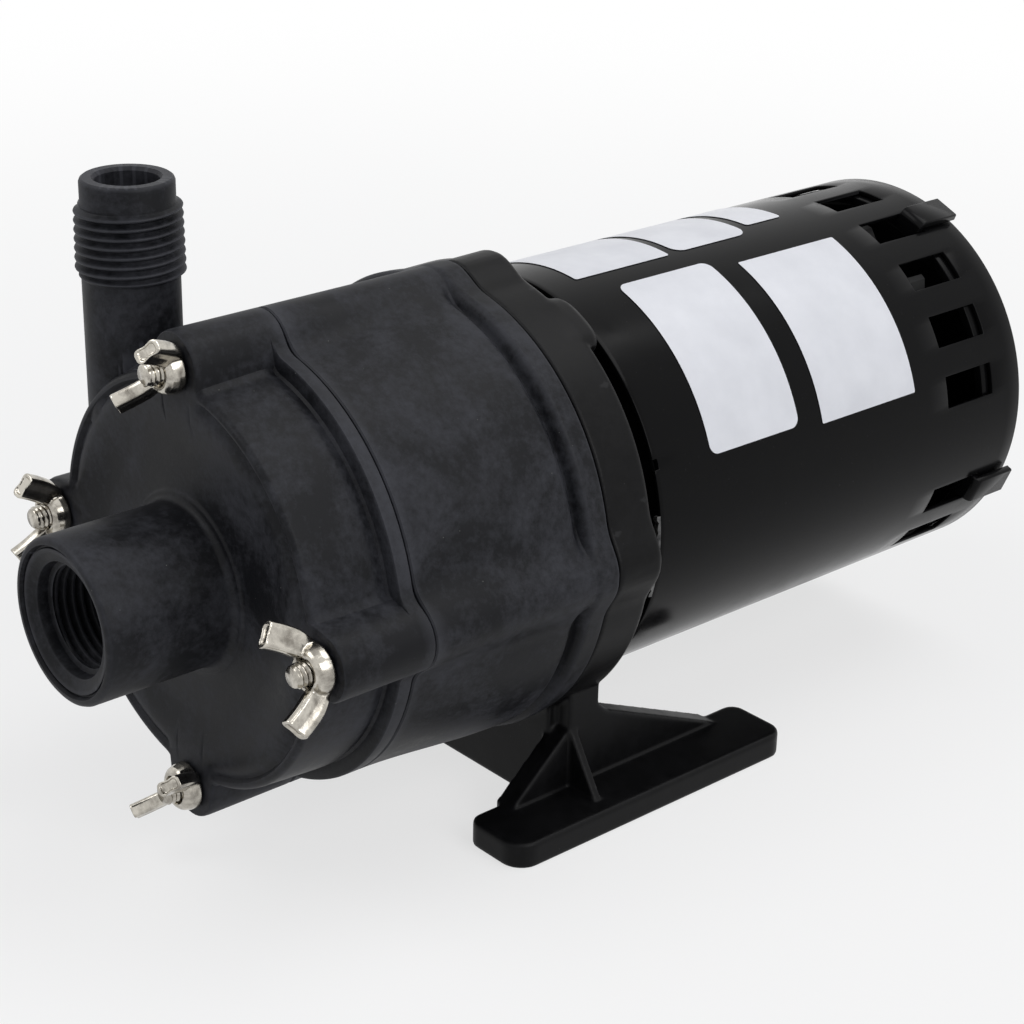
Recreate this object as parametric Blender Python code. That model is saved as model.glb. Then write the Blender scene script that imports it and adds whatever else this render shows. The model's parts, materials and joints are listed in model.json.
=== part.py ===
"""Close-coupled, magnetically driven centrifugal pump with its fan-cooled motor.

Frame: +X to the right seen from the inlet, +Y from the inlet to the motor's rear, +Z up.
The origin lies on the floor under the shaft, in the middle of the base's cross web.
All lengths are metres and all angles are degrees, measured from +X towards +Z.
"""

import math

import bmesh
import bpy
from mathutils import Matrix, Vector

# Clearances shared by the pieces
GAP = 0.0003
RUNNING_GAP = 0.0010

# How far a cutter runs past the face it opens, and a member into the one it joins
CUT_MARGIN = 0.0020
SINK = 0.0010
PLANE_OFFSET = 0.0001

# Small broken edges
EDGE_BEVEL = 0.0005

# Shaft line and the casing that sits on it
SHAFT_HEIGHT = 0.060
CASE_R = 0.0410
RIM_R = 0.0450
BOLT_CIRCLE_R = 0.0437
BOLT_ANGLES = (90.0, 0.0, -90.0, 180.0)
BOLT_NAMES = ("top", "right", "bottom", "left")
LOBE_R = 0.0070
LOBE_BLEND = 0.0030

# Volute housing
VOLUTE_DEPTH = 0.0203
VOLUTE_DRAFT = 0.0007
RIM_WIDTH = 0.0036
RIM_STEP = 0.0006
SHOULDER_R = 0.0042
SHOULDER_END_TURN = 70.0
FACE_DISH = 0.0012
BOSS_RISE = 0.0002
BOSS_EDGE_ROUND = 0.0020
BOSS_TAPER = 0.0008
CHAMBER_R = 0.0345
FRONT_WALL = 0.0045
INLET_REACH = 0.0267
INLET_R = 0.0163
INLET_FILLET = 0.0040
INLET_CHAMFER = 0.0007
INLET_MOUTH_R = 0.0134
INLET_MOUTH_DEPTH = 0.0040
INLET_THREAD_R = 0.0122
INLET_THREAD_DEPTH = 0.0200
THROAT_R = 0.0100
THROAT_EDGE_R = 0.0015
SPIDER_ARMS = 3
SPIDER_ARM_WIDTH = 0.0018
SPIDER_LENGTH = 0.0050
SPIDER_WALL = 0.0020
SPIDER_SETBACK = 0.0012
SPIDER_ARM_INSET = 0.0004
DISCHARGE_OFFSET = 0.0284
DISCHARGE_INSET = 0.0095
DISCHARGE_HEIGHT = 0.0715
DISCHARGE_R = 0.00946
DISCHARGE_BORE_R = 0.0062
DISCHARGE_THREAD_R = 0.0106
DISCHARGE_THREAD_LENGTH = 0.0151
DISCHARGE_THREAD_TAPER = 0.0003
DISCHARGE_LEAD_R = 0.0091
DISCHARGE_LEAD_LENGTH = 0.0046
DISCHARGE_CHAMFER = 0.0005

# Motor bracket between the volute and the mounting base
BRACKET_LENGTH = 0.0454
BRACKET_GROWTH = 0.0022
BEAD_WIDTH = 0.0070
BEAD_RISE = 0.0014
BRACKET_BORE_R = 0.0390
SPIGOT_DEPTH = 0.0035
LEDGE_THICKNESS = 0.0027
LEDGE_BORE_R = 0.0350

# Mounting base: flange, pedestal and two feet
BASE_LEAD = 0.0020
BASE_THICKNESS = 0.0115
BASE_FLANGE_R = 0.0479
BASE_OPENING_R = 0.0240
BASE_EDGE_ROUND = 0.0008
SADDLE_ANGLE = 62.5
SADDLE_HALF_ANGLE = 7.5
SADDLE_DEPTH = 0.0042
SADDLE_ROOT = 0.0060
SADDLE_R = 0.0492
WEB_THICKNESS = 0.0030
PEDESTAL_HALF_WIDTH = 0.0348
PEDESTAL_WALL = 0.0050
TRUNK_FRONT = 0.0007
TRUNK_REAR_INSET = 0.0006
TRUNK_TOP = 0.0260
TRUNK_DROP = 0.0400
TRUNK_HEEL = 0.0025
WALL_FRONT_REACH = 0.0152
WALL_REAR_REACH = 0.0440
FOOT_THICKNESS = 0.0057
FOOT_INNER_X = 0.0310
FOOT_OUTER_X = 0.0470
FOOT_FRONT = 0.0234
FOOT_REAR = 0.0537
FOOT_CORNER_R = 0.0042
FOOT_EDGE_ROUND = 0.0006
GUSSET_REACH = 0.0082
GUSSET_THICKNESS = 0.0019

# Case bolts and wing nuts
BOLT_R = 0.0024
BOLT_HOLE_CLEARANCE = 0.0003
BOLT_HEAD_FLATS = 0.0080
BOLT_HEAD_HEIGHT = 0.0035
BOLT_PROUD = 0.0067
BOLT_TIP_CHAMFER = 0.0005
NUT_HUB_R = 0.0049
NUT_HUB_TOP_R = 0.0040
NUT_HUB_HEIGHT = 0.0036
WING_TIP_R = 0.0088
WING_RISE = 0.0089
WING_WIDTH = 0.0052
WING_THICKNESS = 0.0030
WING_ANGLES = {"top": 50.0, "right": 118.0, "bottom": 42.0, "left": 78.0}

# Isolation cup, spindle and impeller
CUP_FLANGE_THICKNESS = 0.0032
CUP_FLANGE_CLEARANCE = 0.0005
CUP_EDGE_ROUND = 0.0015
CUP_BORE_R = 0.0236
CUP_WALL = 0.0016
CUP_DEPTH = 0.0327
CUP_SOCKET_R = 0.0060
CUP_SOCKET_DEPTH = 0.0045
O_RING_R = 0.0364
O_RING_SECTION_R = 0.00085
SPINDLE_R = 0.0032
THRUST_WASHER_R = 0.0057
THRUST_WASHER_THICKNESS = 0.0012
IMPELLER_R = 0.0325
IMPELLER_EYE_R = 0.0094
IMPELLER_HUB_R = 0.0080
IMPELLER_NOSE_R = 0.0052
IMPELLER_WIDTH = 0.0138
SHROUD_THICKNESS = 0.0016
BACK_DISC_THICKNESS = 0.0022
VANE_COUNT = 6
VANE_THICKNESS = 0.0016
VANE_SWEEP = 62.0
VANE_TIP_INSET = 0.0008
MAGNET_LENGTH = 0.0240
DRIVEN_MAGNET_R = 0.0207
JACKET_WALL = 0.0016

# Drive magnet on the motor shaft
DRIVE_GAP = 0.0014
DRIVE_MAGNET_WALL = 0.0044
DRIVE_CUP_WALL = 0.0023
DRIVE_CUP_FLOOR = 0.0030
DRIVE_HUB_R = 0.0095
DRIVE_HUB_LENGTH = 0.0125
SET_SCREW_R = 0.0020
SET_SCREW_SOCKET_R = 0.0011
SET_SCREW_SOCKET_DEPTH = 0.0020

# Motor
SHELL_STANDOFF = 0.0060
SHELL_LENGTH = 0.1142
SHELL_R = 0.04367
SHELL_WALL = 0.0010
WINDOW_COUNT = 20
WINDOW_FIRST_ANGLE = 67.5
WINDOW_BLANK_ANGLE = -4.5
WINDOW_ARC = 9.4
WINDOW_FROM_REAR = 0.0252
WINDOW_LENGTH = 0.0154
BELL_THICKNESS = 0.0030
BELL_RIM_LENGTH = 0.0150
BELL_RIM_WALL = 0.0020
BEARING_R = 0.0110
BEARING_WIDTH = 0.0070
BEARING_HOUSING_WALL = 0.0027
BEARING_HOUSING_FLOOR = 0.0016
BEARING_SINK = 0.0010
SHAFT_R = 0.0040
SHAFT_HOLE_R = 0.0052
STATOR_FROM_FRONT = 0.0175
STATOR_FROM_REAR = 0.0527
STATOR_BORE_R = 0.0225
AIR_GAP = 0.0006
WINDING_INNER_R = 0.0245
WINDING_OUTER_R = 0.0375
WINDING_HEIGHT = 0.0100
END_RING_HEIGHT = 0.0040
END_RING_WIDTH = 0.0060
END_RING_INSET = 0.0020
SHAFT_SETBACK = 0.0005
SHAFT_TAIL = 0.0015
FAN_R = 0.0385
FAN_HUB_R = 0.0100
FAN_WIDTH = 0.0150
FAN_PLATE = 0.0018
FAN_BLADES = 9
FAN_BLADE_THICKNESS = 0.0015
CLIP_R = 0.0070
CLIP_THICKNESS = 0.0010
REAR_BELL_INSET = 0.0028
EAR_COUNT = 4
EAR_WIDTH = 0.0064
EAR_PLATE = 0.0017
EAR_OVERHANG = 0.0006
EAR_ROOT = 0.0012
BELL_SLOT_COUNT = 8
BELL_SLOT_WIDTH = 0.0050
BELL_SLOT_MARGIN = 0.0040
BELL_EDGE_ROUND = 0.0008
MOTOR_SCREW_COUNT = 4
MOTOR_SCREW_CIRCLE_R = 0.0325
MOTOR_SCREW_FIRST_ANGLE = 45.0
MOTOR_SCREW_R = 0.0022
MOTOR_SCREW_HEAD_R = 0.0040
MOTOR_SCREW_HEAD_HEIGHT = 0.0028
MOTOR_SCREW_GRIP = 0.0070
MOTOR_SCREW_BOSS_WALL = 0.0024

# Roundness of turned pieces, outside, inside and small
MEDIUM = 28
INNER = 20
COARSE = 16
TINY = 10

# Stations along the shaft line, front to back
BASE_FRONT_Y = -BASE_LEAD
BASE_BACK_Y = BASE_FRONT_Y + BASE_THICKNESS
BRACKET_BACK_Y = BASE_FRONT_Y - GAP
BRACKET_FRONT_Y = BRACKET_BACK_Y - BRACKET_LENGTH
VOLUTE_BACK_Y = BRACKET_FRONT_Y - GAP
VOLUTE_FACE_Y = VOLUTE_BACK_Y - VOLUTE_DEPTH
BOSS_FACE_Y = VOLUTE_FACE_Y - BOSS_RISE
INLET_FACE_Y = VOLUTE_FACE_Y - INLET_REACH
CHAMBER_FRONT_Y = VOLUTE_FACE_Y + FRONT_WALL
SPIDER_BACK_Y = CHAMBER_FRONT_Y - SPIDER_SETBACK
IMPELLER_FRONT_Y = CHAMBER_FRONT_Y + RUNNING_GAP
IMPELLER_BACK_Y = IMPELLER_FRONT_Y + IMPELLER_WIDTH
MAGNET_FRONT_Y = IMPELLER_BACK_Y + GAP
MAGNET_BACK_Y = MAGNET_FRONT_Y + MAGNET_LENGTH
JACKET_BACK_Y = MAGNET_BACK_Y + GAP + JACKET_WALL
CUP_FLANGE_BACK_Y = BRACKET_FRONT_Y + CUP_FLANGE_THICKNESS
CUP_BACK_Y = BRACKET_FRONT_Y + CUP_DEPTH
SOCKET_FRONT_Y = CUP_BACK_Y - CUP_WALL - CUP_SOCKET_DEPTH
FRONT_WASHER_Y = SPIDER_BACK_Y + GAP
REAR_WASHER_Y = SOCKET_FRONT_Y - GAP - THRUST_WASHER_THICKNESS
IMPELLER_NOSE_Y = FRONT_WASHER_Y + THRUST_WASHER_THICKNESS + GAP
IMPELLER_HUB_BACK_Y = REAR_WASHER_Y - GAP
DRIVE_FLOOR_Y = CUP_BACK_Y + RUNNING_GAP
DRIVE_MAGNET_BACK_Y = DRIVE_FLOOR_Y - GAP
DRIVE_MAGNET_FRONT_Y = DRIVE_MAGNET_BACK_Y - MAGNET_LENGTH
DRIVE_HUB_BACK_Y = DRIVE_FLOOR_Y + DRIVE_CUP_FLOOR + DRIVE_HUB_LENGTH
BELL_FRONT_Y = BASE_BACK_Y + GAP
SHELL_FRONT_Y = BASE_BACK_Y + SHELL_STANDOFF
SHELL_BACK_Y = SHELL_FRONT_Y + SHELL_LENGTH
WINDOW_FRONT_Y = SHELL_BACK_Y - WINDOW_FROM_REAR
WINDOW_BACK_Y = WINDOW_FRONT_Y + WINDOW_LENGTH
BELL_DISC_BACK_Y = BELL_FRONT_Y + BELL_THICKNESS
FRONT_BEARING_Y = BELL_DISC_BACK_Y - BEARING_WIDTH
STATOR_FRONT_Y = SHELL_FRONT_Y + STATOR_FROM_FRONT
STATOR_BACK_Y = SHELL_BACK_Y - STATOR_FROM_REAR
REAR_DISC_BACK_Y = SHELL_BACK_Y - REAR_BELL_INSET
REAR_DISC_FRONT_Y = REAR_DISC_BACK_Y - BELL_THICKNESS
REAR_BEARING_Y = REAR_DISC_FRONT_Y + BEARING_SINK - BEARING_WIDTH
CLIP_Y = REAR_BEARING_Y - GAP - CLIP_THICKNESS
FAN_BACK_Y = CLIP_Y - GAP
FAN_FRONT_Y = FAN_BACK_Y - FAN_WIDTH
SHAFT_FRONT_Y = DRIVE_FLOOR_Y + SHAFT_SETBACK
SHAFT_BACK_Y = SHELL_BACK_Y - SHAFT_TAIL

# Radii that follow from the pieces they fit
SPINDLE_BORE_R = SPINDLE_R + GAP
CUP_R = CUP_BORE_R + CUP_WALL
CUP_FLANGE_R = BRACKET_BORE_R - CUP_FLANGE_CLEARANCE
SPIGOT_R = CUP_FLANGE_R + GAP
JACKET_BORE_R = DRIVEN_MAGNET_R + GAP
JACKET_R = JACKET_BORE_R + JACKET_WALL
DRIVE_BORE_R = CUP_R + DRIVE_GAP
DRIVE_MAGNET_R = DRIVE_BORE_R + DRIVE_MAGNET_WALL
DRIVE_CUP_BORE_R = DRIVE_MAGNET_R + GAP
DRIVE_CUP_R = DRIVE_CUP_BORE_R + DRIVE_CUP_WALL
SHAFT_BORE_R = SHAFT_R + GAP
SHELL_BORE_R = SHELL_R - SHELL_WALL
BELL_R = SHELL_BORE_R - GAP
BEARING_POCKET_R = BEARING_R + GAP
BEARING_HOUSING_R = BEARING_POCKET_R + BEARING_HOUSING_WALL
ROTOR_R = STATOR_BORE_R - AIR_GAP
BOLT_HOLE_R = BOLT_R + BOLT_HOLE_CLEARANCE
BOLT_POCKET_FLATS = BOLT_HEAD_FLATS + 2.0 * GAP
BOLT_POCKET_DEPTH = BOLT_HEAD_HEIGHT + 2.0 * GAP


# Scene and mesh helpers

def clear_scene():
    """Remove every object that the file holds."""
    for item in list(bpy.data.objects):
        bpy.data.objects.remove(item, do_unlink=True)


def add_object(name, mesh, parent=None):
    """Link a mesh into the scene as a named object."""
    item = bpy.data.objects.new(name, mesh)
    bpy.context.scene.collection.objects.link(item)
    item.parent = parent
    return item


def mesh_from(bm, name):
    """Turn a bmesh into a mesh whose faces point out of the solid."""
    bmesh.ops.recalc_face_normals(bm, faces=bm.faces)
    mesh = bpy.data.meshes.new(name)
    bm.to_mesh(mesh)
    bm.free()
    return mesh


def turned(name, profile, segments=MEDIUM):
    """Spin an outline of (radius, y) points round the Y axis.

    An outline that starts and ends on the axis makes a plug, any other outline a ring.
    """
    bm = bmesh.new()
    verts = [bm.verts.new((radius, y, 0.0)) for radius, y in profile]
    edges = [bm.edges.new(pair) for pair in zip(verts, verts[1:])]
    if profile[0][0] > 0.0 or profile[-1][0] > 0.0:
        edges.append(bm.edges.new((verts[-1], verts[0])))
    bmesh.ops.spin(bm, geom=verts + edges, axis=(0.0, 1.0, 0.0), cent=(0.0, 0.0, 0.0),
                   angle=math.tau, steps=segments, use_merge=True)
    bmesh.ops.remove_doubles(bm, verts=bm.verts, dist=1e-7)
    return mesh_from(bm, name)


def plug(name, radius, front, back, segments=MEDIUM):
    """Make a plain cylinder along Y."""
    return turned(name, [(0.0, front), (radius, front), (radius, back), (0.0, back)], segments)


def tube(name, bore, radius, front, back, segments=MEDIUM):
    """Make a plain tube along Y."""
    profile = [(bore, front), (radius, front), (radius, back), (bore, back)]
    return turned(name, profile, segments)


def lofted(name, loops):
    """Bridge closed loops of points, each with as many points, and cap both ends."""
    bm = bmesh.new()
    rows = [[bm.verts.new(point) for point in loop] for loop in loops]
    for row, following in zip(rows, rows[1:]):
        count = len(row)
        for index in range(count):
            after = (index + 1) % count
            bm.faces.new((row[index], row[after], following[after], following[index]))
    bm.faces.new(rows[0])
    bm.faces.new(rows[-1])
    return mesh_from(bm, name)


def prism(name, outline, axis, start, end):
    """Extrude a flat outline along one axis.

    The outline holds (y, z) points for axis X, (x, z) points for Y and (x, y) points for Z.
    """
    place = {"X": lambda u, v, w: Vector((w, u, v)),
             "Y": lambda u, v, w: Vector((u, w, v)),
             "Z": lambda u, v, w: Vector((u, v, w))}[axis]
    return lofted(name, [[place(u, v, level) for u, v in outline] for level in (start, end)])


def moved(mesh, turn=None, shift=(0.0, 0.0, 0.0)):
    """Turn a mesh about the origin, then shift it."""
    if turn is not None:
        mesh.transform(turn)
    mesh.transform(Matrix.Translation(Vector(shift)))
    return mesh


def about_shaft(angle):
    """Give the rotation that carries +X round the Y axis by an angle towards +Z."""
    return Matrix.Rotation(math.radians(-angle), 4, "Y")


def polar(radius, angle, y=0.0):
    """Give the point at a radius and an angle round the Y axis."""
    turn = math.radians(angle)
    return Vector((radius * math.cos(turn), y, radius * math.sin(turn)))


def combined(base, tools, operation):
    """Join or cut a mesh with others by an exact boolean."""
    body = add_object("boolean_body", base)
    helpers = []
    for mesh in tools:
        helper = add_object("boolean_tool", mesh)
        helper.hide_render = True
        helper.display_type = "WIRE"
        modifier = body.modifiers.new(operation.title(), "BOOLEAN")
        modifier.operation = operation
        modifier.solver = "EXACT"
        modifier.object = helper
        helpers.append(helper)
    depsgraph = bpy.context.evaluated_depsgraph_get()
    mesh = bpy.data.meshes.new_from_object(body.evaluated_get(depsgraph))
    for item in [body] + helpers:
        bpy.data.objects.remove(item, do_unlink=True)
    return mesh


def joined(base, tools):
    """Unite meshes into one body."""
    return combined(base, tools, "UNION")


def cut(base, tools):
    """Take the tools' volumes away from a mesh."""
    return combined(base, tools, "DIFFERENCE")


def material(name, color, roughness, metallic=0.0):
    """Make a Principled material once and reuse it after that."""
    found = bpy.data.materials.get(name)
    if found:
        return found
    made = bpy.data.materials.new(name)
    made.use_nodes = True
    shader = made.node_tree.nodes["Principled BSDF"]
    shader.inputs["Base Color"].default_value = (*color, 1.0)
    shader.inputs["Roughness"].default_value = roughness
    shader.inputs["Metallic"].default_value = metallic
    return made


def finish(name, mesh, look, parent=None, location=None):
    """Make a sub-part's object, smooth its round faces and give it its material."""
    mesh.name = name
    mesh.shade_smooth()
    mesh.set_sharp_from_angle(angle=math.radians(35.0))
    mesh.materials.clear()
    mesh.materials.append(look)
    item = add_object(name, mesh, parent)
    if location is not None:
        item.location = location
    return item


# Materials

def casing_plastic():
    """Charcoal glass-filled plastic of the wet end and bracket."""
    return material("charcoal_plastic", (0.030, 0.031, 0.034), 0.48)


def base_plastic():
    """Near-black plastic of the mounting base."""
    return material("black_plastic", (0.014, 0.014, 0.015), 0.45)


def black_paint():
    """Gloss black paint of the motor's sheet steel."""
    return material("gloss_black_paint", (0.008, 0.008, 0.009), 0.18)


def nickel():
    """Nickel-plated fasteners."""
    return material("nickel_plate", (0.66, 0.63, 0.58), 0.24, 1.0)


def steel():
    """Bright bare steel."""
    return material("bright_steel", (0.56, 0.57, 0.58), 0.30, 1.0)


def laminations():
    """Blued edge of stacked laminations."""
    return material("lamination_steel", (0.17, 0.18, 0.20), 0.45, 1.0)


def copper():
    """Enamelled copper wire."""
    return material("enamelled_copper", (0.55, 0.18, 0.06), 0.35, 1.0)


def ferrite():
    """Sintered ferrite magnet."""
    return material("ferrite", (0.060, 0.058, 0.056), 0.60)


def ceramic():
    """White alumina ceramic."""
    return material("alumina", (0.80, 0.78, 0.72), 0.22)


def rubber():
    """Black seal rubber."""
    return material("seal_rubber", (0.020, 0.020, 0.020), 0.70)


def wet_plastic():
    """Dark plastic of the impeller and the isolation cup."""
    return material("wet_plastic", (0.055, 0.057, 0.062), 0.50)


# Casing outlines

def outline_angles():
    """List the angles at which a casing outline has a point, closer together at the lobes."""
    near_lobe = (-13.0, -10.0, -8.8, -6.5, -3.3, 0.0, 3.3, 6.5, 8.8, 10.0, 13.0)
    between = [13.0 + 64.0 * step / 6.0 for step in range(1, 6)]
    return [90.0 * quarter + offset for quarter in range(4) for offset in (*near_lobe, *between)]


def outline_radius(angle, body_r, lobe_r):
    """Measure from the shaft line to the edge of a round body that blends into four lobes."""
    offset = math.radians((angle + 45.0) % 90.0 - 45.0)
    reach = BOLT_CIRCLE_R + lobe_r + LOBE_BLEND
    for _ in range(80):
        to_body = reach - body_r
        across = reach * math.sin(offset)
        along = reach * math.cos(offset) - BOLT_CIRCLE_R
        to_lobe = math.hypot(along, across) - lobe_r
        overlap = max(LOBE_BLEND - abs(to_body - to_lobe), 0.0) / LOBE_BLEND
        to_edge = min(to_body, to_lobe) - 0.25 * LOBE_BLEND * overlap * overlap
        if to_edge < 1e-7:
            break
        reach -= to_edge
    return reach


def casing_loop(y, body_r, lobe_r):
    """Give one cross section of a casing with lobes."""
    return [polar(outline_radius(angle, body_r, lobe_r), angle, y) for angle in outline_angles()]


def round_loop(y, radius):
    """Give one round cross section with the points of a casing outline."""
    return [polar(radius, angle, y) for angle in outline_angles()]


def bolt_points(y=0.0):
    """Give the four bolt centres at a station."""
    return [polar(BOLT_CIRCLE_R, angle, y) for angle in BOLT_ANGLES]


def bolt_hole_tools(front, back):
    """Make the cutters of the four bolt holes."""
    tools = []
    for point in bolt_points():
        tools.append(moved(plug("hole", BOLT_HOLE_R, front, back, TINY), shift=point))
    return tools


# Wet end

def volute_outer():
    """Loft the volute's outside from its rear rim over the shoulder to the inlet's face."""
    back_r = CASE_R + VOLUTE_DRAFT
    ridge_r = CASE_R - SHOULDER_R
    middle_r = 0.5 * (ridge_r + INLET_R)
    fillet_r = INLET_R + INLET_FILLET
    rim_front = VOLUTE_BACK_Y - RIM_WIDTH
    shoulder = [(turn, math.sin(math.radians(turn)), math.cos(math.radians(turn)))
                for turn in (0.0, 0.5 * SHOULDER_END_TURN, SHOULDER_END_TURN)]
    loops = [casing_loop(VOLUTE_BACK_Y, RIM_R, LOBE_R),
             casing_loop(rim_front, RIM_R, LOBE_R),
             casing_loop(rim_front - RIM_STEP, back_r, LOBE_R)]
    for turn, sine, cosine in shoulder:
        y = VOLUTE_FACE_Y + SHOULDER_R * (1.0 - sine)
        boss_r = LOBE_R - BOSS_TAPER * max(0.0, 2.0 * turn / SHOULDER_END_TURN - 1.0)
        loops.append(casing_loop(y, ridge_r + SHOULDER_R * cosine, boss_r))
    loops.append(casing_loop(BOSS_FACE_Y, ridge_r - 0.5 * BOSS_EDGE_ROUND,
                             LOBE_R - BOSS_EDGE_ROUND))
    loops.append(round_loop(VOLUTE_FACE_Y, ridge_r - 1.5 * BOSS_EDGE_ROUND))
    loops.append(round_loop(VOLUTE_FACE_Y + 0.6 * FACE_DISH, middle_r))
    for turn in (90.0, 45.0, 0.0):
        sine = math.sin(math.radians(turn))
        cosine = math.cos(math.radians(turn))
        radius = fillet_r - INLET_FILLET * cosine
        y = VOLUTE_FACE_Y + FACE_DISH - INLET_FILLET * (1.0 - sine)
        loops.append(round_loop(y, radius))
    loops.append(round_loop(INLET_FACE_Y + INLET_CHAMFER, INLET_R))
    loops.append(round_loop(INLET_FACE_Y, INLET_R - INLET_CHAMFER))
    return lofted("volute_outer", loops)


def discharge_pipe():
    """Turn the discharge pipe with the envelope of its male thread, standing along +Z."""
    lead_bottom = DISCHARGE_HEIGHT - DISCHARGE_LEAD_LENGTH
    thread_bottom = lead_bottom - DISCHARGE_THREAD_LENGTH
    slope = DISCHARGE_THREAD_R - DISCHARGE_R
    root = CASE_R * math.sin(math.acos(DISCHARGE_OFFSET / CASE_R)) - DISCHARGE_R
    profile = [(0.0, root),
               (DISCHARGE_R, root),
               (DISCHARGE_R, thread_bottom - slope),
               (DISCHARGE_THREAD_R, thread_bottom),
               (DISCHARGE_THREAD_R - DISCHARGE_THREAD_TAPER, lead_bottom - slope),
               (DISCHARGE_LEAD_R, lead_bottom),
               (DISCHARGE_LEAD_R, DISCHARGE_HEIGHT - DISCHARGE_CHAMFER),
               (DISCHARGE_LEAD_R - DISCHARGE_CHAMFER, DISCHARGE_HEIGHT),
               (0.0, DISCHARGE_HEIGHT)]
    upright = Matrix.Rotation(math.radians(90.0), 4, "X")
    mesh = turned("discharge_pipe", profile, MEDIUM)
    return moved(mesh, upright, (-DISCHARGE_OFFSET, VOLUTE_FACE_Y + DISCHARGE_INSET, 0.0))


def discharge_bore():
    """Make the cutter that runs from the pump chamber up through the discharge pipe."""
    upright = Matrix.Rotation(math.radians(90.0), 4, "X")
    top = DISCHARGE_HEIGHT + CUT_MARGIN
    mesh = plug("discharge_bore", DISCHARGE_BORE_R, 0.0, top, COARSE)
    return moved(mesh, upright, (-DISCHARGE_OFFSET, VOLUTE_FACE_Y + DISCHARGE_INSET, 0.0))


def volute_hollow():
    """Turn the cutter of the inlet's mouth, threaded bore, throat and pump chamber."""
    outside_y = INLET_FACE_Y - CUT_MARGIN
    thread_end_y = INLET_FACE_Y + INLET_THREAD_DEPTH
    profile = [(0.0, outside_y),
               (INLET_MOUTH_R + CUT_MARGIN, outside_y),
               (INLET_MOUTH_R, INLET_FACE_Y + EDGE_BEVEL),
               (INLET_MOUTH_R, INLET_FACE_Y + INLET_MOUTH_DEPTH),
               (INLET_THREAD_R, INLET_FACE_Y + INLET_MOUTH_DEPTH),
               (INLET_THREAD_R, thread_end_y),
               (THROAT_R, thread_end_y + 0.5 * (INLET_THREAD_R - THROAT_R)),
               (THROAT_R, CHAMBER_FRONT_Y - THROAT_EDGE_R),
               (THROAT_R + THROAT_EDGE_R, CHAMBER_FRONT_Y),
               (CHAMBER_R, CHAMBER_FRONT_Y),
               (CHAMBER_R, VOLUTE_BACK_Y + CUT_MARGIN),
               (0.0, VOLUTE_BACK_Y + CUT_MARGIN)]
    return turned("volute_hollow", profile, MEDIUM)


def spider():
    """Make the spindle's front support: a hub on three arms across the throat."""
    front = SPIDER_BACK_Y - SPIDER_LENGTH
    hub_r = SPINDLE_BORE_R + SPIDER_WALL
    half = 0.5 * SPIDER_ARM_WIDTH
    outline = [(hub_r - SINK, -half), (THROAT_R + SINK, -half),
               (THROAT_R + SINK, half), (hub_r - SINK, half)]
    arms = []
    for index in range(SPIDER_ARMS):
        arm = prism("arm", outline, "Y", front + SPIDER_ARM_INSET,
                    SPIDER_BACK_Y - SPIDER_ARM_INSET)
        arms.append(moved(arm, about_shaft(90.0 + 360.0 * index / SPIDER_ARMS)))
    hub = tube("spider_hub", SPINDLE_BORE_R, hub_r, front, SPIDER_BACK_Y, COARSE)
    return joined(hub, arms)


def build_volute(parent):
    """Build the housing with the inlet, the pump chamber, the discharge and four bolt lobes."""
    mesh = joined(volute_outer(), [discharge_pipe()])
    mesh = cut(mesh, [volute_hollow(), discharge_bore()])
    mesh = cut(mesh, bolt_hole_tools(BOSS_FACE_Y - CUT_MARGIN, VOLUTE_BACK_Y + CUT_MARGIN))
    mesh = joined(mesh, [spider()])
    return finish("volute_housing", mesh, casing_plastic(), parent)


def build_isolation_cup(parent):
    """Build the rear housing that keeps the liquid in, with its seal groove and spindle socket."""
    groove_inner = O_RING_R - O_RING_SECTION_R - GAP
    groove_outer = O_RING_R + O_RING_SECTION_R + GAP
    groove_floor = BRACKET_FRONT_Y + 2.0 * O_RING_SECTION_R + GAP
    end_y = CUP_BACK_Y - CUP_WALL
    profile = [(CUP_BORE_R, BRACKET_FRONT_Y),
               (groove_inner, BRACKET_FRONT_Y),
               (groove_inner, groove_floor),
               (groove_outer, groove_floor),
               (groove_outer, BRACKET_FRONT_Y),
               (CUP_FLANGE_R, BRACKET_FRONT_Y),
               (CUP_FLANGE_R, CUP_FLANGE_BACK_Y),
               (CUP_R, CUP_FLANGE_BACK_Y),
               (CUP_R, CUP_BACK_Y - CUP_EDGE_ROUND),
               (CUP_R - CUP_EDGE_ROUND, CUP_BACK_Y),
               (0.0, CUP_BACK_Y),
               (0.0, end_y),
               (SPINDLE_BORE_R, end_y),
               (SPINDLE_BORE_R, SOCKET_FRONT_Y),
               (CUP_SOCKET_R, SOCKET_FRONT_Y),
               (CUP_SOCKET_R, end_y),
               (CUP_BORE_R, end_y)]
    return finish("rear_housing", turned_closed("rear_housing", profile, INNER), wet_plastic(),
                  parent)


def turned_closed(name, profile, segments):
    """Spin an outline that meets the axis part way along, as a cup does at its floor."""
    on_axis = [index for index, point in enumerate(profile) if point[0] == 0.0]
    start = on_axis[-1]
    return turned(name, profile[start:] + profile[:on_axis[0] + 1], segments)


def build_o_ring(parent):
    """Build the seal ring that lies in the rear housing's groove."""
    middle = BRACKET_FRONT_Y + O_RING_SECTION_R
    profile = []
    for step in range(6):
        turn = math.tau * step / 6.0
        profile.append((O_RING_R + O_RING_SECTION_R * math.cos(turn),
                        middle + O_RING_SECTION_R * math.sin(turn)))
    return finish("housing_seal", turned("housing_seal", profile, INNER), rubber(), parent)


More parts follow.
